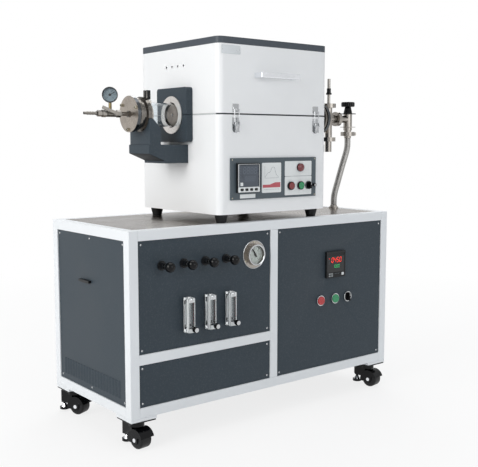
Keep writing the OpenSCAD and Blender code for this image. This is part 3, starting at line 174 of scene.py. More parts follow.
def surface(name, code, rough, vary=0.04, cloud=6.0, grain=900.0, bump=0.1, depth=0.15,
            rough_vary=0.06, stretch=(1, 1, 1), dust=0.0, **sockets):
    """Procedural finish: clouded colour, uneven gloss and a fine grain; sockets are constants"""
    mat = bpy.data.materials.new(name)
    mat.use_nodes = True
    nt = mat.node_tree
    bsdf = nt.nodes["Principled BSDF"]
    here = shader(nt, "TexCoord").outputs["Object"]
    drawn = shader(nt, "Mapping", Vector=here, Scale=stretch).outputs["Vector"]
    broad, fine = noise(nt, here, cloud, 4.0), noise(nt, drawn, grain, 3.0)
    colour = rgb(code)
    shade = blend_colours(nt, spread(nt, broad, 0, 1), [c * (1 - vary) for c in colour],
                          [min(1.0, c * (1 + vary)) for c in colour])
    if dust:
        speck = noise(nt, drawn, grain * 0.31, 2.0)
        shade = blend_colours(nt, spread(nt, speck, 0, dust, 0.5, 0.75), shade,
                              [min(1.0, 0.35 + c) for c in colour])
    dull = math_node(nt, "ADD", spread(nt, broad, -rough_vary, rough_vary),
                     spread(nt, fine, rough - rough_vary / 2, rough + rough_vary / 2))
    relief = shader(nt, "Bump", Strength=bump, Distance=depth * MM, Height=fine)
    sockets.update(Base_Color=shade, Roughness=dull, Normal=relief.outputs["Normal"])
    for key, value in sockets.items():
        join(nt, bsdf.inputs[key.replace("_", " ")], value)
    return mat


def lit(name, code, strength):
    """Self-lit display segment with a faint unevenness"""
    return surface(name, code, 0.35, vary=0.05, cloud=90.0, grain=1500.0, bump=0.02,
                   Emission_Color=(*rgb(code), 1.0), Emission_Strength=strength)


PAINT = dict(vary=0.018, cloud=3.0, grain=650.0, bump=0.22, depth=0.12)
COAT = dict(cloud=4.0, grain=800.0, bump=0.35)
TURNED = dict(cloud=24.0, grain=60.0, Metallic=1.0)
PLATED = dict(cloud=40.0, grain=300.0, bump=0.03, depth=0.04, rough_vary=0.04, Metallic=1.0)
PLASTIC = dict(vary=0.06, cloud=60.0, bump=0.05, rough_vary=0.05)
ACRYLIC = dict(cloud=30.0, grain=400.0, IOR=1.49)
M = {
    # Cart and furnace
    "frame": surface("white_powder_coat", "e5e8eb", 0.36, **PAINT),
    "shell": surface("shell_powder_coat", "eff0f1", 0.38, **PAINT),
    "slate": surface("slate_powder_coat", "343e46", 0.45, vary=0.05, dust=0.05,
                     Specular_IOR_Level=0.25, **COAT),
    "cap": surface("cap_powder_coat", "434a52", 0.42, vary=0.05, dust=0.05,
                   Specular_IOR_Level=0.35, **COAT),
    "under": surface("slate_in_shade", "171c22", 0.6, vary=0.08, Specular_IOR_Level=0.2, **COAT),
    "control": surface("control_panel_film", "48535a", 0.33, vary=0.03, grain=1200.0),
    # Near black inside of the furnace case, as painted shade
    "dark": surface("painted_shade_inside", "101112", 0.8, vary=0.2, cloud=20.0, grain=700.0),
    "machine": surface("machine_enamel", "56626c", 0.4, vary=0.05, cloud=8.0, grain=500.0,
                       bump=0.2),
    # Metals
    "top": surface("brushed_top_sheet", "8c857e", 0.24, vary=0.08, cloud=5.0, grain=60.0,
                   bump=0.06, depth=0.08, rough_vary=0.07, stretch=(0.6, 28, 28), Metallic=1.0),
    "steel": surface("turned_steel", "a19c96", 0.22, vary=0.06, bump=0.08, depth=0.06,
                     stretch=(26, 2, 2), **TURNED),
    "steel_up": surface("turned_steel_upright", "a19c96", 0.22, vary=0.06, bump=0.08, depth=0.06,
                        stretch=(2, 2, 26), **TURNED),
    "body": surface("flange_steel", "76726d", 0.16, vary=0.06, bump=0.08, depth=0.06,
                    rough_vary=0.05, stretch=(26, 2, 2), **TURNED),
    "collar": surface("collar_steel", "e2ddd8", 0.3, vary=0.05, bump=0.06, depth=0.05,
                      rough_vary=0.05, stretch=(2, 9, 9), **TURNED),
    "disc": surface("end_disc_steel", "b5aca2", 0.26, vary=0.1, cloud=30.0, grain=70.0,
                    bump=0.07, depth=0.05, stretch=(2, 9, 9), Metallic=1.0),
    "chrome": surface("chrome_plate", "bfc1c3", 0.1, vary=0.03, **PLATED),
    # Dark chrome, also used as a painted dark reflection on the end discs' rims
    "dark_chrome_and_painted_reflection": surface("dark_chrome_and_painted_reflection", "54575a", 0.16, vary=0.05, **PLATED),
    "polish": surface("polished_alloy", "f0f2f5", 0.17, vary=0.03, cloud=20.0, grain=80.0,
                      bump=0.05, depth=0.05, rough_vary=0.05, stretch=(1, 20, 20), Metallic=1.0),
    "zinc": surface("zinc_plate", "b5b0a0", 0.34, vary=0.1, cloud=60.0, grain=500.0,
                    bump=0.12, rough_vary=0.1, Metallic=1.0),
    "brass": surface("brass", "71654a", 0.27, vary=0.08, cloud=60.0, grain=400.0,
                     bump=0.08, rough_vary=0.08, Metallic=1.0),
    "braid": surface("hose_braid", "a3a19e", 0.3, vary=0.12, cloud=60.0, grain=420.0,
                     bump=0.3, depth=0.25, rough_vary=0.08, Metallic=1.0),
    "element": surface("heating_wire", "6c6258", 0.6, vary=0.2, cloud=50.0, bump=0.3,
                       rough_vary=0.1, Metallic=0.6),
    # Mouldings, rubber and fibre
    "gloss": surface("gloss_black", "07080a", 0.16, vary=0.25, cloud=30.0, grain=500.0,
                     bump=0.05, rough_vary=0.05, Specular_IOR_Level=0.22),
    "black": surface("moulded_black", "0e1013", 0.38, vary=0.2, cloud=30.0, grain=1400.0,
                     bump=0.18, depth=0.1, rough_vary=0.08, Specular_IOR_Level=0.3),
    "rubber": surface("black_rubber", "0f1012", 0.55, vary=0.2, cloud=20.0, grain=1100.0,
                      bump=0.35, depth=0.2, rough_vary=0.1, dust=0.03, Specular_IOR_Level=0.3),
    "tread": surface("wheel_tread", "101113", 0.42, vary=0.2, cloud=30.0, bump=0.3, depth=0.2,
                     rough_vary=0.1, dust=0.04, Specular_IOR_Level=0.3),
    # Seam gasket: the dark strip is partly painted shade of the seam gap, and the pale one is a lit
    # copy of it
    "gasket": surface("seam_gasket", "34383b", 0.75, vary=0.08, cloud=20.0, bump=0.3, depth=0.2),
    "lit_gasket_copy": surface("lit_gasket_copy", "bfc2c3", 0.6, cloud=20.0, bump=0.2, depth=0.2),
    "fibre": surface("ceramic_fibre", "e9e6dc", 0.92, vary=0.05, cloud=14.0, grain=420.0,
                     bump=0.6, depth=0.7, rough_vary=0.05, dust=0.1),
    "plug": surface("ceramic_plug", "b9aba0", 0.85, vary=0.07, cloud=30.0, grain=500.0,
                    bump=0.5, depth=0.5, dust=0.08),
    # Instruments, switches and print
    "face": surface("instrument_face", "0d0f12", 0.14, vary=0.2, cloud=20.0, bump=0.03,
                    rough_vary=0.04),
    "screen": surface("instrument_screen", "4a515b", 0.3, vary=0.06, cloud=14.0, bump=0.03,
                      rough_vary=0.05),
    "ghost": surface("unlit_segments", "5f6874", 0.35, cloud=40.0),
    "key": surface("grey_keys", "8c9092", 0.5, vary=0.05, cloud=60.0, grain=1300.0, bump=0.15),
    "plate": surface("printed_plate", "e3e6e6", 0.36, vary=0.02, cloud=20.0, bump=0.06,
                     rough_vary=0.04),
    "silver": surface("satin_label", "c9cdd0", 0.32, vary=0.03, cloud=20.0, grain=120.0,
                      bump=0.05, stretch=(1, 20, 20), Metallic=0.8),
    "ink": surface("grey_print", "7c8489", 0.5, vary=0.05, cloud=60.0),
    "band": surface("rose_print", "b8565f", 0.45, vary=0.06, cloud=60.0),
    "mark": surface("black_print", "1a1c1e", 0.5, vary=0.1, cloud=90.0, grain=1200.0),
    "white": surface("white_print", "e8e8e6", 0.5, vary=0.02, cloud=90.0, grain=1200.0),
    "dial": surface("dial_paper", "b2bab6", 0.55, vary=0.02, cloud=60.0, grain=1200.0),
    "blue_dial": surface("inlet_dial", "93a5af", 0.5, vary=0.02, cloud=60.0, grain=1200.0),
    "red": surface("red_plastic", "b41d22", 0.25, Subsurface_Weight=0.08, Coat_Weight=0.4,
                   **PLASTIC),
    "deep_red": surface("deep_red_plastic", "7c161a", 0.2, Coat_Weight=0.5, **PLASTIC),
    "green": surface("green_plastic", "0f8a55", 0.25, Subsurface_Weight=0.08, Coat_Weight=0.4,
                     **PLASTIC),
    "lamp": surface("red_lens", "6a161e", 0.14, vary=0.15, cloud=90.0, grain=500.0,
                    bump=0.08, rough_vary=0.04, Coat_Weight=0.6),
    "red_led": lit("red_segments", "ff2a14", 1.1),
    "green_led": lit("green_segments", "2fbf6a", 0.5),
    # Clear pieces
    "quartz": surface("quartz_glass", "f4f8fa", 0.03, vary=0.01, cloud=9.0, grain=200.0,
                      bump=0.01, rough_vary=0.015, Transmission_Weight=1.0, IOR=1.45),
    "glass": surface("gauge_glass", "ffffff", 0.02, vary=0.0, cloud=30.0, grain=300.0,
                     bump=0.01, rough_vary=0.01, Transmission_Weight=1.0, IOR=1.1),
    "acrylic": surface("clear_acrylic", "f2f6f8", 0.05, vary=0.01, bump=0.01, rough_vary=0.02,
                       Transmission_Weight=1.0, **ACRYLIC),
    # Frosted acrylic for the cut ends, also used for painted highlights along the flow meters'
    # edges
    "frosted_and_highlight": surface("frosted_acrylic_and_highlight", "f4f7f8", 0.25, vary=0.02, bump=0.05, rough_vary=0.04,
                       Transmission_Weight=0.1, **ACRYLIC),
}

# ---- building blocks ----

PRINT_T = 0.08  # thickness of printed marks

# Two axes of a face and the direction it looks in
X, Y, Z = Vector((1, 0, 0)), Vector((0, 1, 0)), Vector((0, 0, 1))
FRONT, BACK = (X, Z, -Y), (-X, Z, Y)
LEFT, RIGHT = (-Y, Z, -X), (Y, Z, X)
TOP = (X, Y, Z)


def rounded(w, h, r, n=5):
    """Outline of a rounded rectangle about its middle"""
    r = min(r, w / 2, h / 2)
    out = []
    for k, (cx, cy) in enumerate(((1, 1), (-1, 1), (-1, -1), (1, -1))):
        for i in range(n + 1):
            a = radians(90 * (k + i / n))
            out.append((cx * (w / 2 - r) + r * cos(a), cy * (h / 2 - r) + r * sin(a)))
    return out


def circle(r, n):
    return [(r * cos(2 * pi * i / n), r * sin(2 * pi * i / n)) for i in range(n)]


def bar(a, b, w):
    """Outline of a straight mark of width w from a to b"""
    a, b = Vector(a), Vector(b)
    n = (b - a).normalized() * (w / 2)
    side = Vector((-n.y, n.x))
    return [tuple(a - side), tuple(b - side), tuple(b + side), tuple(a + side)]


def quads(rows, n, closed=False):
    """Faces between neighbouring rows of n points around; closed joins the last to the first"""
    return [[k * n + j, k * n + (j + 1) % n, (k + 1) % rows * n + (j + 1) % n,
             (k + 1) % rows * n + j] for k in range(rows - (not closed)) for j in range(n)]


def tube_faces(rows, n):
    """The same with both ends closed"""
    return quads(rows, n) + [list(range(n))[::-1], list(range((rows - 1) * n, rows * n))]


class Piece:
    """Mesh of one named piece on one body, built in cart millimetres"""

    def __init__(self, name, body, slot):
        self.name, self.body, self.slot = name, body, slot
        self.bm = bmesh.new()
        self.mats = []

    def key(self, mat):
        """Place of a material in the piece's list"""
        if mat not in self.mats:
            self.mats.append(mat)
        return self.mats.index(mat)

    def add(self, points, faces, mat):
        verts = [self.bm.verts.new(p) for p in points]
        for f in faces:
            face = self.bm.faces.new([verts[i] for i in f])
            face.material_index = self.key(mat)

    def plate(self, outline, origin, axes, thick, mat, base=0.0):
        """Flat piece: an outline in two axes, made thick along the third"""
        u, v, w = axes
        o = Vector(origin)
        n = len(outline)
        pts = [o + u * p[0] + v * p[1] + w * h for h in (base, base + thick) for p in outline]
        faces = [list(range(n))[::-1], list(range(n, 2 * n))]
        faces += [[i, (i + 1) % n, n + (i + 1) % n, n + i] for i in range(n)]
        self.add(pts, faces, mat)

    def box(self, low, high, mat):
        w, d = high[0] - low[0], high[1] - low[1]
        self.plate([(0, 0), (w, 0), (w, d), (0, d)], low, TOP, high[2] - low[2], mat)

    def tile(self, size, origin, thick, mat, axes=FRONT):
        """Flat piece with rounded corners; size is its width, height and radius"""
        self.plate(rounded(*size), origin, axes, thick, mat)

    def lathe(self, profile, origin, axes, mat, steps=40, ribs=0, rib=0.0):
        """Turned piece: (radius, height) points about the third axis, closed at its ends"""
        u, v, w = axes
        o = Vector(origin)
        pts = []
        for r, h in profile:
            for i in range(steps):
                a = 2 * pi * i / steps
                rr = r + (rib * cos(ribs * a) if ribs and r > rib * 2 else 0)
                pts.append(o + u * rr * cos(a) + v * rr * sin(a) + w * h)
        self.add(pts, tube_faces(len(profile), steps), mat)

    def ring(self, profile, origin, axes, mat, steps):
        """Ring turned from a closed profile of (radius, height) points"""
        u, v, w = axes
        o = Vector(origin)
        turns = [2 * pi * i / steps for i in range(steps)]
        pts = [o + (u * cos(a) + v * sin(a)) * r + w * h for a in turns for r, h in profile]
        self.add(pts, quads(steps, len(profile), closed=True), mat)

    def number(self, text, size, origin, axes, mat):
        """A plain number laid on a face"""
        curve = bpy.data.curves.new("number", "FONT")
        curve.body = text
        curve.size = size
        curve.align_x = "CENTER"
        curve.align_y = "CENTER"
        obj = bpy.data.objects.new("number", curve)
        scene.collection.objects.link(obj)
        me = obj.evaluated_get(bpy.context.evaluated_depsgraph_get()).to_mesh()
        u, v, w = axes
        pts = [Vector(origin) + u * p.co.x + v * p.co.y + w * PRINT_T for p in me.vertices]
        self.add(pts, [list(p.vertices) for p in me.polygons], mat)
        bpy.data.objects.remove(obj)
        bpy.data.curves.remove(curve)

    def done(self, bevel=0.0, smooth=35.0, replaces=()):
        bm = self.bm
        for v in bm.verts:
            v.co = at(*v.co)
        bmesh.ops.recalc_face_normals(bm, faces=bm.faces)
        return show(bm, self.name, self.body, [M[m] for m in self.mats], bevel,
                    smooth, replaces)


def show(bm, name, body, mats, bevel, smooth, replaces):
    """The finished piece in the scene, bevelled and riding on its body"""
    me = bpy.data.meshes.new(name)
    bm.to_mesh(me)
    bm.free()
    for m in mats:
        me.materials.append(m)
    me.polygons.foreach_set("use_smooth", [True] * len(me.polygons))
    me.set_sharp_from_angle(angle=radians(smooth))
    obj = bpy.data.objects.new(name, me)
    scene.collection.objects.link(obj)
    if bevel:
        mod = obj.modifiers.new("rounded_edges", "BEVEL")
        mod.width = bevel * MM
        mod.segments = 2
        mod.limit_method = "ANGLE"
        mod.angle_limit = radians(max(30.0, smooth))
        mod.harden_normals = True
        mod.use_clamp_overlap = True
        mod.miter_outer = "MITER_ARC"
    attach(obj, body)
    if replaces:
        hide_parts(*replaces)
    return obj


def node_slot(node):
    for part in frame["record"]["subparts"]:
        if part["node"] == node:
            return part["material_slot"]
    return frame["record"]["materials"][0]["slot"]


def dress(node, pick, bevel=0.5, smooth=35.0, split=False, outward=False):
    """The CAD node with joined faces, rounded edges and a finish chosen by place.
    pick is a material's key, or a function of a face's middle and direction in cart axes.
    split cuts joined faces into convex ones; outward rounds only the outer edges."""
    source = NODES[node]
    bm = bmesh.new()
    bm.from_mesh(source.data)
    bmesh.ops.remove_doubles(bm, verts=bm.verts, dist=2e-6)
    keys = []
    for f in bm.faces:
        c = (f.calc_center_median() - DATUM) / MM
        mat = pick(c, f.normal) if callable(pick) else pick
        if mat not in keys:
            keys.append(mat)
        f.material_index = keys.index(mat)
    bmesh.ops.dissolve_limit(bm, angle_limit=radians(0.4), verts=bm.verts, edges=bm.edges,
                             delimit={"MATERIAL"})
    if split:
        bmesh.ops.connect_verts_concave(bm, faces=bm.faces)
    if outward:
        # Inward edges stay sharp, so that a stem's root doesn't grow into its guide
        weight = bm.edges.layers.float.new("bevel_weight_edge")
        for e in bm.edges:
            if e.is_convex and e.calc_face_angle(0.0) > radians(30):
                e[weight] = 1.0
    obj = show(bm, node + "_dressed", source["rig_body"], [M[k] for k in keys],
               bevel, smooth, (node,))
    if outward:
        obj.modifiers["rounded_edges"].limit_method = "WEIGHT"
    return obj


# ---- bellows hose, from the angle valve to the cart top ----

HOSE_D, BRAID_INSET, BRAID_WAVE = 25.0, 0.45, 0.4
HOSE_ROUTE = [(1160, 230.5, 860), (1158, 231, 815), (1136, 234, 750), (1114, 237, 684),
              (1099, 240, 633), (1097, 241, 592)]


def hose_point(u):
    """Smooth curve through the route, u from 0 to the last index"""
    last = len(HOSE_ROUTE) - 1
    i = min(int(u), last - 1)
    t = u - i
    a, b, c, d = (Vector(HOSE_ROUTE[max(0, min(last, k))]) for k in (i - 1, i, i + 1, i + 2))
    return 0.5 * (2 * b + (c - a) * t + (2 * a - 5 * b + 4 * c - d) * t * t
                  + (3 * b - a - 3 * c + d) * t ** 3)


def hose():
    """Folded braid along the route, ending straight down in the cart top's fitting"""
    folds, per_fold, sides = 74, 4, 24
    rings = folds * per_fold
    last = len(HOSE_ROUTE) - 1
    line = [hose_point(last * k / rings) for k in range(rings + 1)]
    piece = Piece("bellows_hose_braid", "cart", node_slot("bellows_hose"))
    turns = [2 * pi * j / sides for j in range(sides)]
    ref, pts = Y.copy(), []
    for k, p in enumerate(line):
        way = (line[min(k + 1, rings)] - line[max(k - 1, 0)]).normalized()
        if k in (0, rings):
            way = -Z
        ref = (ref - way * ref.dot(way)).normalized()
        side = way.cross(ref)
        r = HOSE_D / 2 - BRAID_INSET + BRAID_WAVE * cos(2 * pi * k / per_fold)
        pts += [p + r * (ref * cos(a) + side * sin(a)) for a in turns]
    piece.add(pts, tube_faces(rings + 1, sides), "braid")
    obj = piece.done(smooth=80, replaces=("bellows_hose",))


hose()

# ---- cart ----

dress("cart_frame", "frame", 1.6)
dress("cart_top", "top", 0.3)
dress("front_panels", "slate", 0.6)
dress("outer_panels", "slate", 0.0)
dress("caster_plates", "gloss")

# Rows of louvres: first hood's middle, way to the next, number of hoods and axes
LOUVRE_PITCH, HOOD_LONG, CHEEK_T = 19.0, 54.0, 0.6
LOUVRE_ROWS = [((PANEL_Y, 434.5, 80), -Y, 20, (Y, Z, -X)),
               ((FRAME_HI.x - PANEL_Y, 69.5, 80), Y, 20, RIGHT),
               ((519.5, FRAME_HI.y - PANEL_Y, 473.5), -X, 23, BACK),
               ((1074.5, FRAME_HI.y - PANEL_Y, 473.5), -X, 23, BACK)]


def louvre_hoods():
    """Pressed hoods over the slots of the outer panels, low at one edge and open at the other"""
    sheet = [(-4.4, 0), (4.2, 2.2), (4.2, 2.8), (-5.2, 0.2)]
    cheek = [(-4.6, 0), (4.2, 0), (4.2, 2.5)]
    piece = Piece("louvre_hoods", "cart", "panel_slate")
    for first, way, count, (u, v, w) in LOUVRE_ROWS:
        for k in range(count):
            spot = Vector(first) + way * (LOUVRE_PITCH * k)
            piece.plate(sheet, spot - v * HOOD_LONG / 2, (u, w, v), HOOD_LONG, "slate")
            for s in (-1, 1):
                end = s * (HOOD_LONG / 2 - CHEEK_T / 2) - CHEEK_T / 2
                piece.plate(cheek, spot + v * end, (u, w, v), CHEEK_T, "slate")
    piece.done(smooth=30)


louvre_hoods()

# Casters: place of each swivel axis and heading of its trailing wheel, in degrees
CASTERS = [(46, 46, -82), (1098, 46, -80), (46, 458, -65), (1098, 458, -60)]
LEVEL_REACH, CASTER_TRAIL, FLOOR_Z, AXLE_H = 46.0, 20.0, -103.0, 30.0
# Levelling foot's radius, lowest and highest bright face; wheel cover's depth, axle end's radius
FOOT_R, FOOT_LOW, FOOT_HIGH, COVER_OUT, AXLE_R = 13.4, 10.5, 40.0, 26.3, 7.0


def caster_pick(x, y, heading):
    """Bright levelling foot and axle ends on a black fork"""
    way = Vector((cos(radians(heading)), sin(radians(heading))))
    foot = Vector((x, y)) - LEVEL_REACH * way
    wheel = Vector((x, y)) + CASTER_TRAIL * way

    def pick(c, n):
        flat = Vector((c.x, c.y))
        if (flat - foot).length < FOOT_R and FOOT_LOW < c.z - FLOOR_Z < FOOT_HIGH:
            return "polish"
        off = flat - wheel
        across = abs(off.x * way.y - off.y * way.x)
        if across > COVER_OUT and hypot(off.dot(way), c.z - FLOOR_Z - AXLE_H) < AXLE_R:
            return "polish"
        return "gloss"

    return pick


for i, caster in enumerate(CASTERS, 1):
    dress(f"caster_fork_{i}", caster_pick(*caster), 0.8)
    dress(f"caster_wheel_{i}", "tread", 1.2)
dress("side_latch", "black", 1.0)


def screws(name, body, spots, axes, mat="chrome", d=7.0, high=1.6):
    """Round-headed cross-slot screws at the given places"""
    piece = Piece(name, body, "chrome")
    for spot in spots:
        r = d / 2
        piece.lathe([(r, 0), (r, high * 0.25), (r * 0.86, high * 0.62), (r * 0.55, high * 0.92),
                     (0.2, high)], spot, axes, mat, 20)
        o = Vector(spot) + axes[2] * high * 0.93
        for a in (45, 135):
            c, s = cos(radians(a)), sin(radians(a))
            piece.plate(bar((-r * 0.5 * c, -r * 0.5 * s), (r * 0.5 * c, r * 0.5 * s), r * 0.22),
                        o, axes, 0.12, "mark")
    piece.done(smooth=40)


W, D, H = FRAME_HI
EDGE = 12.0  # from a panel's edge to its screws
# Sides of the middle post, and of the rail under the gas panel
POST, CROSS_RAIL = (557.0, 589.0), (166.0, 198.0)
front_fields = [((RAIL, POST[0]), (CROSS_RAIL[1], H - RAIL)),
                ((RAIL, POST[0]), (RAIL, CROSS_RAIL[0])),
                ((POST[1], W - RAIL), (RAIL, H - RAIL))]
screws("front_panel_screws", "cart", [(x, PANEL_Y, z) for (x0, x1), (z0, z1) in front_fields
        for x in (x0 + EDGE, x1 - EDGE) for z in (z0 + EDGE, z1 - EDGE)], FRONT)
low, high = RAIL + EDGE, H - RAIL - EDGE
sides = [(y, z) for y in (RAIL + EDGE, D / 2, D - RAIL - EDGE) for z in (low, high)]
screws("left_panel_screws", "cart", [(PANEL_Y, y, z) for y, z in sides], LEFT)
screws("right_panel_screws", "cart", [(W - PANEL_Y, y, z) for y, z in sides], RIGHT)
BACK_SCREW_XS = (44, 294, 545, 601, 850, 1100)
screws("back_panel_screws", "cart",
       [(x, D - PANEL_Y, z) for x in BACK_SCREW_XS for z in (low, high)], BACK)

# ---- gas panel ----

GAS_Z, GAS_XS = 467.0, [117.0, 200.0, 283.0, 366.0]
BALL_Y, BALL_R, NUT_Y = -45.0, 16.4, -18.05


def ball_pick(x):
    """Glossy ball at the end of a plain valve spindle"""
    ball = Vector((x, BALL_Y, GAS_Z))
    return lambda c, n: "gloss" if (c - ball).length < BALL_R else "black"


dress("gas_valves", "black")
for i, x in enumerate(GAS_XS, 1):
    dress(f"gas_knob_{i}", ball_pick(x), 0.0, 40)


def valve_trims():
    piece = Piece("valve_gland_nuts", "cart", "chrome")
    for x in GAS_XS:
        piece.lathe([(6.6, 0), (6.6, 4.2), (6.0, 4.8), (4.3, 4.8)], (x, NUT_Y, GAS_Z), FRONT,
                    "dark_chrome_and_painted_reflection", 6)
    piece.done(bevel=0.3, smooth=30)


valve_trims()

# Flow meters: clear blocks with a float tube, a scale and end plugs
FLOW_XS, FLOW_Z0, FLOW_Z1 = [207.0, 290.0, 373.0], 248.0, 359.0
FLOW_FRONT, FLOW_BACK, FLOW_SIDE, BORE_Y = -30.0, -2.0, 12.5, -16.0
FLOW_MID = (FLOW_Z0 + FLOW_Z1) / 2
# Middle of the float tube's window, and the scale's lowest mark with its pitch
WINDOW_Z, SCALE_Z, SCALE_PITCH = 306.0, 281.0, 5.0
FLOAT_R, FLOAT_LOW, FLOAT_HIGH = 4.4, 19.5, 29.0  # heights above the block's foot
FLOW_KNOB_Y, FLOW_KNOB_Z = -42.0, 262.0


def flow_pick(c, n):
    """Clear block with cut ends, black float in its bore, and metal ports behind it"""
    x = min(FLOW_XS, key=lambda v: abs(v - c.x))
    if c.y > FLOW_BACK + 0.2:
        return "brass" if c.y > PANEL_Y else "chrome"
    in_bore = hypot(c.x - x, c.y - BORE_Y) < FLOAT_R
    if in_bore and FLOAT_LOW < c.z - FLOW_Z0 < FLOAT_HIGH:
        return "black"
    if abs(n.z) > 0.9 and abs(c.z - FLOW_MID) > 54:
        return "frosted_and_highlight"
    return "acrylic"


dress("flowmeter_bodies", flow_pick, 0.7)


def flow_trims():
    piece = Piece("flow_meter_scales", "cart", "acrylic")
    for x in FLOW_XS:
        for k in range(13):
            long = k % 4 == 0
            z = SCALE_Z + k * SCALE_PITCH
            piece.plate(bar((0, 0), (3.4 if long else 2, 0), 0.6), (x + 5.8, FLOW_FRONT, z),
                        FRONT, PRINT_T, "band")
            if long:
                piece.number(str(k // 4 + 1), 4.6, (x - 8, FLOW_FRONT, z), FRONT, "mark")
        # Pale backing behind the float tube
        piece.tile((12, 84, 2), (x, -6.6, WINDOW_Z), 0.4, "plate")
        # Painted highlights as light strips along the block's edges, end plates of the block, and
        # the outline of its float tube
        for s, axes in ((-1, LEFT), (1, RIGHT)):
            for dx, z, size, mat in ((10.9, FLOW_MID, (1.5, 108, 0.4), "frosted_and_highlight"),
                                     (5.2, WINDOW_Z, (0.7, 74, 0.3), "mark"),
                                     (0, FLOW_MID + s * 48, (21, 13, 2), "frosted_and_highlight")):
                piece.tile(size, (x + s * dx, FLOW_FRONT, z), 0.1, mat)
            # Painted highlights along the front and back edges of the block's sides
            for w, y in ((9, FLOW_FRONT + 5.2), (3, FLOW_BACK - 2.4)):
                piece.tile((w, 108, 0.6), (x + s * FLOW_SIDE, y, FLOW_MID), 0.1, "frosted_and_highlight", axes)
        # Plug with its hexagon on top, and a screw on the front
        piece.lathe([(7.5, 0), (7.5, 1.4), (6.9, 2.0)], (x, BORE_Y, FLOW_Z1), TOP, "chrome", 24)
        piece.plate(circle(6.4, 6), (x, BORE_Y, FLOW_Z1 + 2), TOP, 1.6, "chrome")
        piece.lathe([(6.5, 0), (6.5, 0.5), (6.0, 0.8)], (x, FLOW_FRONT, FLOW_Z1 - 8), FRONT,
                    "chrome", 20)
    piece.done()


flow_trims()
for i in range(1, 4):
    dress(f"flow_knob_{i}", lambda c, n: "gloss" if c.y < FLOW_KNOB_Y + 0.5 else "chrome", 0.8)


def flow_knob_trims():
    for i, x in enumerate(FLOW_XS, 1):
        knob = (x, FLOW_KNOB_Y, FLOW_KNOB_Z)
        piece = Piece(f"flow_knob_grip_{i}", f"flow_knob_{i}", "black_plastic")
        piece.lathe([(8.2, 1.2), (8.6, 1.9), (8.6, 11.6), (8.2, 12.3)], knob, FRONT,
                    "gloss", 72, ribs=18, rib=0.35)
        piece.lathe([(7.4, 13.9), (7.4, 14.8), (6.8, 15.4), (0.5, 15.6)], knob, FRONT, "chrome", 32)
        piece.done(smooth=25)


flow_knob_trims()

# Panel gauge, and the gauge of the gas inlet, which is turned about its stem
GAUGE = (485.0, 470.0)
GAUGE_FRONT, DIAL_Y, FLANGE_FACE_Y = -10.9, -1.0, 2.0
INLET_GAUGE = Vector((77.0, TUBE_Y, 993.0))
INLET_TURN = Matrix.Rotation(radians(-32), 3, "Z")


def panel_gauge_pick(r, y):
    if y < GAUGE_FRONT and r < 34.2:
        return "glass"
    if -1.2 < y < 0.3 and r < 33:
        return "dial"
    if y > 6:
        return "black"
    return "steel" if r < 45 and y < FLANGE_FACE_Y + 0.6 else "chrome"


def inlet_gauge_pick(r, y):
    if y < -6.5 and r < 23.2:
        return "glass"
    if 6 < y < 8.3 and r < 22.4:
        return "blue_dial"
    if -4.5 < y < -2.5 and r < 20:
        return "mark"
    return "dark_chrome_and_painted_reflection"


def gauge_pick(c, n):
    """Finish by distance from a gauge's axis and depth along it; brass fittings elsewhere"""
    if 400 < c.x < 560 and c.y > -20:
        return panel_gauge_pick(hypot(c.x - GAUGE[0], c.z - GAUGE[1]), c.y)
    p = INLET_TURN.inverted() @ (c - INLET_GAUGE)
    r = hypot(p.x, p.z)
    return inlet_gauge_pick(r, p.y) if r < 26 else "brass"


dress("gauges", gauge_pick, 0.6)

DIAL_SWEEP, MINOR = 270.0, 5  # degrees, and marks to a number


def dial_marks(name, origin, axes, r, top, step):
    """Scale of a gauge: marks and numbers from 0 to top steps, laid on its dial"""
    piece = Piece(name, "cart", "chrome")
    u, v, _ = axes
    count = top * MINOR
    for k in range(count + 1):
        a = radians(90 + DIAL_SWEEP / 2 - DIAL_SWEEP * k / count)
        c, s = cos(a), sin(a)
        long = k % MINOR == 0
        r0, r1, w = r * (0.78 if long else 0.86), r * 0.95, r * (0.04 if long else 0.02)
        piece.plate(bar((r0 * c, r0 * s), (r1 * c, r1 * s), w), origin, axes, PRINT_T, "mark")
        if long:
            piece.number(str(k // MINOR * step), r * 0.24,
                         Vector(origin) + r * 0.6 * (u * c + v * s), axes, "mark")
    piece.plate(circle(r * 0.06, 20), origin, axes, 0.5, "brass")
    piece.done()


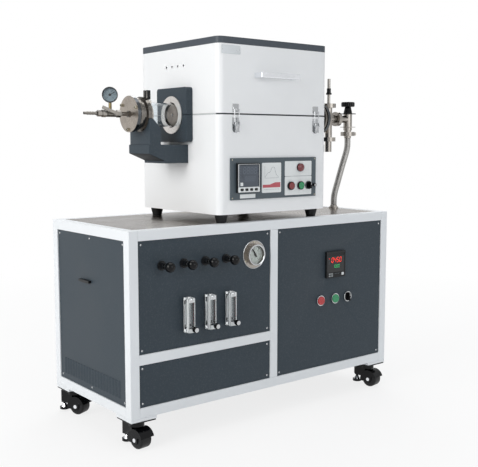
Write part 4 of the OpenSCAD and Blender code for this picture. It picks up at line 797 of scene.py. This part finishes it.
def gauge_trims():
    gx, gz = GAUGE
    dial_marks("panel_gauge_scale", (gx, DIAL_Y, gz), FRONT, 30.0, 6, 1)
    turned = tuple(INLET_TURN @ way for way in FRONT)
    dial_marks("inlet_gauge_scale", INLET_GAUGE + turned[2] * -6.9, turned, 21.0, 5, 2)
    # Broad sloping bezel over the edge of the panel gauge's glass
    piece = Piece("panel_gauge_bezel", "cart", "chrome")
    ring = [(35.3, 13.6), (35.2, 14.9), (34.2, 15.8), (32.6, 15.7), (30.4, 14.6), (30.0, 13.6)]
    piece.ring(ring, (gx, 0, gz), FRONT, "chrome", 64)
    rim = [(47.9, 0.0), (47.7, 1.0), (46.6, 1.5), (45.4, 0.9), (45.2, 0.0)]
    piece.ring(rim, (gx, FLANGE_FACE_Y, gz), FRONT, "chrome", 64)
    for a in (90, 210, 330):
        x, z = 42 * cos(radians(a)), 42 * sin(radians(a))
        piece.lathe([(3.2, 0), (3.2, 0.8), (2.4, 1.8), (0.3, 2.2)],
                    (gx + x, FLANGE_FACE_Y, gz + z), FRONT, "zinc", 20)
    piece.done(smooth=30)
    # Spade of the needle
    piece = Piece("gauge_needle_spade", "gauge_needle", "black_plastic")
    needle_front = local_box("gauge_needle")[0].y
    way = Vector((-cos(radians(60)), sin(radians(60))))
    side = Vector((-way.y, way.x))
    shape = [way * 25, way * 6 + side * 2.6, side * 3.4 - way * 10, -side * 3.4 - way * 10,
             way * 6 - side * 2.6]
    piece.plate([tuple(q) for q in shape], (gx, needle_front - 0.1, gz), FRONT, 0.4, "mark")
    piece.done(smooth=30)


gauge_trims()
dress("gauge_needle", "mark", 0.0)

# ---- pump panel ----

# Middles of the pump panel's instrument and of the furnace's controller
METER, CONTROLLER = (868.0, 402.0), (450.0, 727.0)
dress("panel_instruments", "black", 1.2, split=True)

# Lit segments of the digits that the instruments show
SEGMENTS = {"0": "abcdef", "1": "bc", "4": "fgbc", "5": "afgcd", "8": "abcdefg"}


def digits(piece, text, height, origin, mat):
    """Seven-segment digits, leaning a little, about their middle"""
    w, t = height * 0.5, height * 0.11
    pitch = height * 0.78
    ends = {"a": ((0, 1), (1, 1)), "b": ((1, 1), (1, 0)), "c": ((1, 0), (1, -1)),
            "d": ((0, -1), (1, -1)), "e": ((0, 0), (0, -1)), "f": ((0, 1), (0, 0)),
            "g": ((0, 0), (1, 0))}
    for k, ch in enumerate(text):
        x0 = (k - len(text) / 2) * pitch + (pitch - w) / 2
        for s in SEGMENTS[ch]:
            a, b = (Vector((x0 + e[0] * w + e[1] * height * 0.06, e[1] * height / 2))
                    for e in ends[s])
            way = (b - a).normalized()
            side = Vector((-way.y, way.x)) * t / 2
            a, b = a + way * t * 0.3, b - way * t * 0.3
            shape = [a, a + way * t / 2 + side, b - way * t / 2 + side, b,
                     b - way * t / 2 - side, a + way * t / 2 - side]
            piece.plate([tuple(p) for p in shape], origin, FRONT, 0.1, mat)


def meter_face():
    """Glossy face with two rows of lit digits, status lamps and keys"""
    x, z = METER
    face, print_y, key_y = -2.4, -3.15, -4.0
    piece = Piece("pump_meter_face", "cart", "black_plastic")
    piece.tile((83, 59, 2), (x, face, z), 0.7, "face")
    digits(piece, "0450", 17, (x + 2, print_y, z + 16), "red_led")
    digits(piece, "1000", 11, (x + 2, print_y, z - 7), "green_led")
    for k in range(4):
        piece.plate(circle(1.3, 12), (x - 35, print_y, z + 22 - k * 6), FRONT, 0.15,
                    "red_led" if k == 0 else "ghost")
    for k in range(2):
        for j in range(2):
            piece.tile((9, 5.2, 1.4), (x - 33 + k * 12, key_y, z - 34 - j * 7.5), 1.0, "key")
    piece.tile((12, 10, 2.5), (x + 33, key_y, z - 37), 1.1, "silver")
    piece.plate(bar((-12, 0), (12, 0), 0.8), (x + 4, key_y, z - 34), FRONT, PRINT_T, "ink")
    piece.done(bevel=0.25)


def controller_face():
    """Grey screen with unlit digits, light lines around it and a key strip"""
    x, z = CONTROLLER
    face, print_y, strip_y = -12.45, -13.1, -14.0
    line_y = (-14.6, -13.8)
    piece = Piece("controller_face", "cart", "black_plastic")
    piece.tile((83, 71, 1.5), (x, face, z + 6), 0.7, "screen")
    digits(piece, "8888", 20, (x + 5, print_y, z + 24), "ghost")
    digits(piece, "8888", 15, (x + 5, print_y, z - 3), "ghost")
    for k in range(5):
        piece.plate(circle(1.3, 12), (x - 34, print_y, z + 32 - k * 9), FRONT, 0.12, "ghost")
    piece.tile((11, 11, 1.2), (x - 30, print_y - 0.05, z - 20), 0.35, "plate")
    piece.tile((91, 17, 2.5), (x, strip_y, z - 38), 0.5, "plate")
    for k in range(4):
        piece.tile((13, 8.5, 3.2), (x - 30 + k * 20, strip_y - 0.4, z - 38), 1.1, "face")
    for s, w in ((-1, 2.4), (1, 1.4)):
        line_x = x + s * 43.8
        piece.box((line_x - w / 2, line_y[0], z - 29.5), (line_x + w / 2, line_y[1], z + 45),
                  "plate")
    piece.box((x - 43.8, line_y[0], z + 44), (x + 43.8, line_y[1], z + 45.2), "silver")
    piece.done(bevel=0.3)


meter_face()
controller_face()

# Lamp, buttons, key switch and fuse holder on the furnace's control panel
LAMP, SWITCH_Z, CONTROL_Y = (682.0, 757.0), 695.0, -6.0
BUTTON_XS, KEY_X, FUSE_X = (639.0, 684.0), 722.0, 748.0
SELECTOR = (934.0, 275.0)


def bezel_pick(c, n):
    """Frames of the lamp, the fuse holder and the switches of the furnace and of the cart"""
    if max(abs(c.x - LAMP[0]), abs(c.z - LAMP[1])) < 16:
        in_lens = c.y < -8 and hypot(c.x - LAMP[0], c.z - LAMP[1]) < 10.3
        return "lamp" if in_lens else "black"
    if max(abs(c.x - FUSE_X), abs(c.z - SWITCH_Z)) < 8:
        return "gloss"
    if c.z > H:
        return "gloss" if c.x < 700 else "dark_chrome_and_painted_reflection"
    return "chrome" if c.y < 3 else "black"


def button_pick(cap, front):
    """Coloured cap before a black stem"""
    return lambda c, n: cap if c.y < front else "black"


dress("switch_bezels", bezel_pick)
for place, bevel, front, caps in (("cart", 1.6, PANEL_Y, ("red", "green")),
                                  ("furnace", 1.3, CONTROL_Y, ("deep_red", "green"))):
    for job, cap in zip(("stop", "start"), caps):
        dress(f"{place}_{job}_button", button_pick(cap, front), bevel, outward=True)
dress("cart_selector", "gloss", 1.0)
dress("furnace_key_switch", "gloss", 0.8)


def front_mark(name, body, origin, low, high, width):
    """White line on the front of a turning switch"""
    piece = Piece(name, body, "black_plastic")
    piece.plate(bar((0, low), (0, high), width), origin, FRONT, 0.1, "white")
    piece.done()


def switch_trims():
    piece = Piece("lamp_lens", "cart", "red_plastic")
    piece.lathe([(13.9, 4.05), (13.9, 7.6), (12.9, 10.2), (10.2, 12.3), (6.0, 13.5), (0.4, 13.9)],
                (LAMP[0], CONTROL_Y, LAMP[1]), FRONT, "lamp", 48)
    piece.done(smooth=50)
    piece = Piece("button_collars", "cart", "black_plastic")
    for x in BUTTON_XS:
        collar = [(14.4, 5.9), (14.4, 7.4), (13.7, 8.2), (12.6, 8.2), (12.6, 5.9)]
        piece.ring(collar, (x, CONTROL_Y, SWITCH_Z), FRONT, "gloss", 40)
    piece.done(smooth=30)
    front_mark("selector_mark", "cart_selector", (SELECTOR[0], -13.0, SELECTOR[1]), 3, 13.2, 1.3)
    front_mark("key_switch_mark", "furnace_key_switch", (KEY_X, -23.0, SWITCH_Z), 1.5, 10, 1.1)
    piece = Piece("fuse_holder_slot", "cart", "black_plastic")
    piece.lathe([(3.8, 0), (3.8, 0.3), (3.4, 0.6)], (FUSE_X, -15.0, SWITCH_Z), FRONT, "chrome", 24)
    piece.plate(bar((-3, 0), (3, 0), 1.0), (FUSE_X, -15.6, SWITCH_Z), FRONT, 0.1, "mark")
    piece.done()


switch_trims()

# ---- furnace ----


def case_pick(c, n):
    """Painted shell, near black inside as painted shade"""
    inside = (CASE_LO.x + 14 < c.x < CASE_HI.x - 14 and 14 < c.y < CASE_HI.y - 14
              and CASE_LO.z + 4 < c.z < CASE_HI.z - 60)
    return "dark" if inside else "shell"


dress("furnace_case", case_pick, 0.8)
dress("lid_shell", "shell", 0.8)
dress("lid_cap", "cap", 1.6)
dress("lid_handle", "polish", 2.4)
dress("furnace_feet", "rubber", 1.2)
dress("control_panel", "control", 0.8)

# Radius of the circle of heating rods about the tube, and their reach from its middle
ROD_CIRCLE, ROD_REACH = 56.0, 222.0


def heater_pick(c, n):
    """Fibre block with six heating rods, and a bright collar outside the furnace's walls"""
    if not CASE_LO.x < c.x < CASE_HI.x:
        return "collar"
    y, z = c.y - TUBE_Y, abs(c.z - SEAM_Z)
    if abs(hypot(y, z) - ROD_CIRCLE) < 3.7 and abs(c.x - TUBE_MID) < ROD_REACH:
        for k in range(6):
            a = radians(30 * (k + 0.5))
            if hypot(y + ROD_CIRCLE * cos(a), z - ROD_CIRCLE * sin(a)) < 3.6:
                return "element"
    return "fibre"


dress("lower_heating_module", heater_pick, 0.8)
dress("upper_heating_module", heater_pick, 0.8)
dress("lower_port_plates", "slate", 0.8)
dress("upper_port_plates", "slate", 0.8)
dress("process_tube", "quartz", 0.4)
dress("flange_brackets", lambda c, n: "under" if n.z < -0.3 else "slate", 1.5)
dress("case_hardware", "chrome", 0.4)
dress("lid_hardware", "chrome", 0.4)
for i in (1, 2):
    dress(f"latch_lever_{i}", "chrome", 0.4)
    dress(f"latch_bail_{i}", "chrome", 0.0, 50)
dress("vacuum_pump", "machine", 1.5)
dress("power_unit", "machine", 1.0)


def tube_plugs():
    """Fibre plugs with a steel button, which close the tube at the furnace's two walls"""
    piece = Piece("tube_plugs", "cart", "fibre_white")
    for x, axes in ((CASE_LO.x - 21, LEFT), (CASE_HI.x + 21, RIGHT)):
        piece.lathe([(34, -46), (36.2, -45), (36.2, -1.5), (34.8, 0)], (x, TUBE_Y, SEAM_Z), axes,
                    "plug", 48)
        piece.lathe([(4.5, 0), (4.5, 1.6), (3.8, 2.2)], (x, TUBE_Y, SEAM_Z), axes, "steel", 24)
    piece.done()


def seam_gasket():
    """Strip in the seam, in a front and a back half that are open where the collars pass"""
    edge, r, t, opening = 1.2, 20.8, 6.0, 66.0
    x0, x1 = CASE_LO.x + edge, CASE_HI.x - edge
    z0, high = CASE_HI.z + 0.2, LID_LO.z - CASE_HI.z - 0.6
    piece = Piece("seam_gasket_strip", "cart", "rubber_black")
    for s, y in ((-1, edge), (1, CASE_HI.y - edge)):
        stop = TUBE_Y + s * opening
        outer, inner = [(x0, stop)], [(x0 + t, stop)]
        for cx, first in ((x0 + r, 180), (x1 - r, 90)):
            for k in range(7):
                a = radians(s * (first - 15 * k))
                for line, reach in ((outer, r), (inner, r - t)):
                    line.append((cx + reach * cos(a), y - s * r + reach * sin(a)))
        outer.append((x1, stop))
        inner.append((x1 - t, stop))
        n = len(outer)
        pts = [Vector((*p, z)) for z in (z0, z0 + high) for p in outer + inner]
        faces = []
        for k in range(n - 1):
            for a, b in ((0, n), (2 * n, 3 * n), (0, 2 * n), (n, 3 * n)):
                faces.append([a + k, a + k + 1, b + k + 1, b + k])
        faces += [[k, n + k, 3 * n + k, 2 * n + k] for k in (0, n - 1)]
        piece.add(pts, faces, "gasket")
    # Lit and shaded copies of one gasket: pale at the sides, and dark at the front and back, where
    # the dark is partly gasket colour and partly painted shade of the seam gap
    pale = piece.key("lit_gasket_copy")
    for f in piece.bm.faces:
        f.normal_update()
        if abs(f.normal.x) > 0.98:
            f.material_index = pale
    piece.done()


def control_plates():
    """Plates on the control panel; the middle one has a heating curve over a plain band"""
    mid_x, print_y = 553.5, CONTROL_Y - 0.5
    piece = Piece("control_panel_plates", "cart", "panel_slate")
    for x, z, size, thick in ((mid_x, 725, (85, 100, 4), 0.5), (675, 753.5, (124, 51, 3), 0.4),
                              (675, SWITCH_Z, (124, 64, 3), 0.4), (450.5, 667, (65, 13, 1), 0.4)):
        piece.tile(size, (x, CONTROL_Y, z), thick, "plate")
    ramp = [(-30, -12), (-16, 4), (-8, 4), (2, 22), (12, 22), (20, -2), (30, -11)]
    lines = [((-30, -14), (-30, 26), 0.7), ((-30, -14), (32, -14), 0.7)]
    for a, b, w in lines + [(a, b, 0.9) for a, b in zip(ramp, ramp[1:])]:
        piece.plate(bar(a, b, w), (mid_x, print_y, 738), FRONT, 0.06, "ink")
    piece.plate([(-39, -8), (39, -8), (39, 9), (16, 9), (-8, 2), (-39, 2)],
                (mid_x, print_y, 700), FRONT, 0.06, "band")
    piece.plate(bar((-34, 0), (34, 0), 0.6), (mid_x, print_y, 686), FRONT, 0.06, "ink")
    piece.done()
    screws("control_panel_screws", "cart",
           [(x, CONTROL_Y, z) for x in (387, 752) for z in (662, 786)], FRONT, "zinc", 5.0, 1.2)


def lid_trims():
    # Blank name plate held by two rivets
    piece = Piece("lid_blank_plate", "lid", "chrome")
    x, z = 386.0, 1136.0
    piece.tile((76, 27, 2.5), (x, 0, z), 0.6, "silver")
    for s in (-1, 1):
        piece.lathe([(1.7, 0.6), (1.5, 1.1), (0.5, 1.4)], (x + s * 34, 0, z), FRONT, "chrome", 14)
    piece.done()
    piece = Piece("vent_hole_rims", "lid", "shell_white")
    for y in (193, 227, 261, 295):
        for x, axes in ((CASE_LO.x, LEFT), (CASE_HI.x, RIGHT)):
            rim = [(5.2, 0.0), (5.2, 0.5), (4.7, 0.8), (4.1, 0.3), (4.1, -1.5)]
            piece.ring(rim, (x, y, 1097), axes, "shell", 24)
    piece.done(smooth=40)


HINGE_XS, LEAF_T = (436.0, 715.0), 2.5

tube_plugs()
seam_gasket()
control_plates()
lid_trims()
for name, body, s in (("hinge_screws_lower", "cart", -1), ("hinge_screws_upper", "lid", 1)):
    screws(name, body, [(x + dx, CASE_HI.y + LEAF_T, SEAM_Z + s * dz) for x in HINGE_XS
                        for dx in (-20, 20) for dz in (16, 29)], BACK, "zinc", 6.0, 1.2)

# ---- tube ends, gas inlet and vacuum line ----

# Outer faces of the two end discs
FLANGE_LEFT = 145.0
FLANGE_RIGHT = 2 * TUBE_MID - FLANGE_LEFT


def flange_pick(c, n):
    """Finish by depth behind the end disc and distance from the tube's axis"""
    x = min(c.x - FLANGE_LEFT, FLANGE_RIGHT - c.x)
    r = hypot(c.y - TUBE_Y, c.z - SEAM_Z)
    if x < -0.5 or (r > 44.5 and 12 < x < 15):
        return "zinc"  # bolts
    if x < 11.95:
        # The end disc's outer rim is dark chrome as a painted dark reflection
        return "dark_chrome_and_painted_reflection" if r > 58.5 else "disc"
    if x < 15 and r < 45:
        return "rubber"  # seal ring
    if x < 55:
        return "body"
    return "gloss" if c.z > SEAM_Z + 47.3 else "steel"  # thumb screws on the strap


dress("tube_flanges", flange_pick, 0.8)
dress("inlet_fitting", "body")
dress("inlet_valve_handle", "body", 0.6)

# Axes of the cross and of the angle valve, and the underside of its handwheel
CROSS_X, VALVE_X, WHEEL_Z = 1052.0, 1160.0, SEAM_Z + 49.3


def manifold_pick(c, n):
    """Steel, turned upright above and below the cross, with black vent knob and sensor"""
    r = hypot(c.x - CROSS_X, c.y - TUBE_Y)
    if 1020 < c.z < 1060 and r > 6.4:
        return "gloss"
    if 700 < c.z < 851 and r < 13.5:
        return "steel_up" if c.z > 815 else "black"
    return "steel" if 880 <= c.z <= 970 else "steel_up"


dress("vacuum_manifold", manifold_pick, 0.6)
dress("angle_valve", lambda c, n: "gloss" if c.z > SEAM_Z + 19.5 else "steel_up", 0.6)
dress("valve_handwheel", "gloss", 1.8)


def line_trims():
    # Hexagon sockets of the flange bolts
    piece = Piece("flange_bolt_sockets", "cart", "stainless")
    for k in range(3):
        a = radians(36 + 120 * k)
        y, z = TUBE_Y + 50 * cos(a), SEAM_Z + 50 * sin(a)
        for x, axes in ((FLANGE_LEFT - 6.1, LEFT), (FLANGE_RIGHT + 6.1, RIGHT)):
            piece.plate(circle(2.8, 6), (x, y, z), axes, 0.1, "mark", -0.02)
    piece.done()
    # Grip ribs of the handwheel
    piece = Piece("handwheel_grip", "valve_handwheel", "black_plastic")
    piece.lathe([(24.0, 2.5), (26.3, 4.0), (26.3, 15.5), (24.0, 17.0)],
                (VALVE_X, TUBE_Y, WHEEL_Z), TOP, "gloss", 96, ribs=24, rib=0.5)
    piece.lathe([(4.5, 19.0), (4.5, 20.2), (3.6, 20.8), (0.5, 20.9)],
                (VALVE_X, TUBE_Y, WHEEL_Z), TOP, "chrome", 24)
    piece.done(smooth=30)


line_trims()

# ---- stage and light ----

FLOOR_HALF, FLOOR_DROP = 30.0, 0.0004  # metres


def mix_shaders(nt, factor, first, second, output):
    mix = shader(nt, "MixShader")
    for socket, value in zip(mix.inputs, (factor, first.outputs[0], second.outputs[0])):
        nt.links.new(value, socket)
    shader(nt, output, Surface=mix.outputs[0])


def lay_floor():
    """Pale floor that meets the white background away from the object"""
    s = FLOOR_HALF
    mesh = bpy.data.meshes.new("floor")
    mesh.from_pydata([(-s, -s, 0), (s, -s, 0), (s, s, 0), (-s, s, 0)], [], [(0, 1, 2, 3)])
    floor = bpy.data.objects.new("floor", mesh)
    floor.location.z = cad_box[0][2] - FLOOR_DROP
    scene.collection.objects.link(floor)
    mat = bpy.data.materials.new("pale_floor")
    mat.use_nodes = True
    nt = mat.node_tree
    nt.nodes.clear()
    place = shader(nt, "TexCoord").outputs["Object"]
    mottle = spread(nt, noise(nt, place, 2.0, 3.0), 0, 1)
    diffuse = shader(nt, "BsdfDiffuse", Color=blend_colours(nt, mottle, (0.78, 0.78, 0.78),
                                                          (0.81, 0.81, 0.81)))
    glow = shader(nt, "Emission", Color=(1, 1, 1, 1))
    # Only what is seen, mirrored or looked through glows, and more so further out
    path = shader(nt, "LightPath").outputs
    seen = math_node(nt, "MAXIMUM", path["Is Camera Ray"],
                     math_node(nt, "MAXIMUM", path["Is Glossy Ray"], path["Is Transmission Ray"]))
    far = shader(nt, "VectorMath", Vector=place)
    far.operation = "LENGTH"
    share = spread(nt, far.outputs["Value"], 0.8, 1.0, 0.6, 3.2)
    mix_shaders(nt, math_node(nt, "MULTIPLY", share, seen), diffuse, glow, "OutputMaterial")
    mesh.materials.append(mat)


def studio():
    """Soft bluish light from all sides, behind a white background"""
    world = bpy.data.worlds.new("studio")
    scene.world = world
    world.use_nodes = True
    nt = world.node_tree
    nt.nodes.clear()
    soft = shader(nt, "Background", Color=(0.93, 0.965, 1.0, 1), Strength=0.42)
    white = shader(nt, "Background", Color=(1, 1, 1, 1), Strength=1.0)
    path = shader(nt, "LightPath").outputs
    seen = math_node(nt, "MAXIMUM", path["Is Camera Ray"], path["Is Transmission Ray"])
    share = math_node(nt, "MULTIPLY_ADD", path["Is Glossy Ray"], 0.55, seen)
    mix_shaders(nt, share, soft, white, "OutputWorld")


def lamp(name, place, target, size, power, colour=(1, 1, 1)):
    data = bpy.data.lights.new(name, "AREA")
    data.shape = "RECTANGLE"
    data.size, data.size_y = size
    data.energy = power
    data.color = colour
    obj = bpy.data.objects.new(name, data)
    obj.location = place
    obj.rotation_euler = (Vector(target) - Vector(place)).to_track_quat("-Z", "Y").to_euler()
    scene.collection.objects.link(obj)


lay_floor()
studio()
lamp("key", (-4.2, -0.6, 2.3), (0, 0, 0.7), (2.6, 2.6), 114, (1.0, 0.99, 0.97))
lamp("fill", (0.6, -4.6, 1.9), (0, 0, 0.6), (3.2, 2.2), 40, (0.97, 0.985, 1.0))
lamp("over", (0.2, 0.2, 4.2), (0, 0, 0.5), (3.0, 3.0), 55)
lamp("rear", (2.4, 2.4, 3.6), (0, 0, 0.7), (2.4, 2.0), 52)
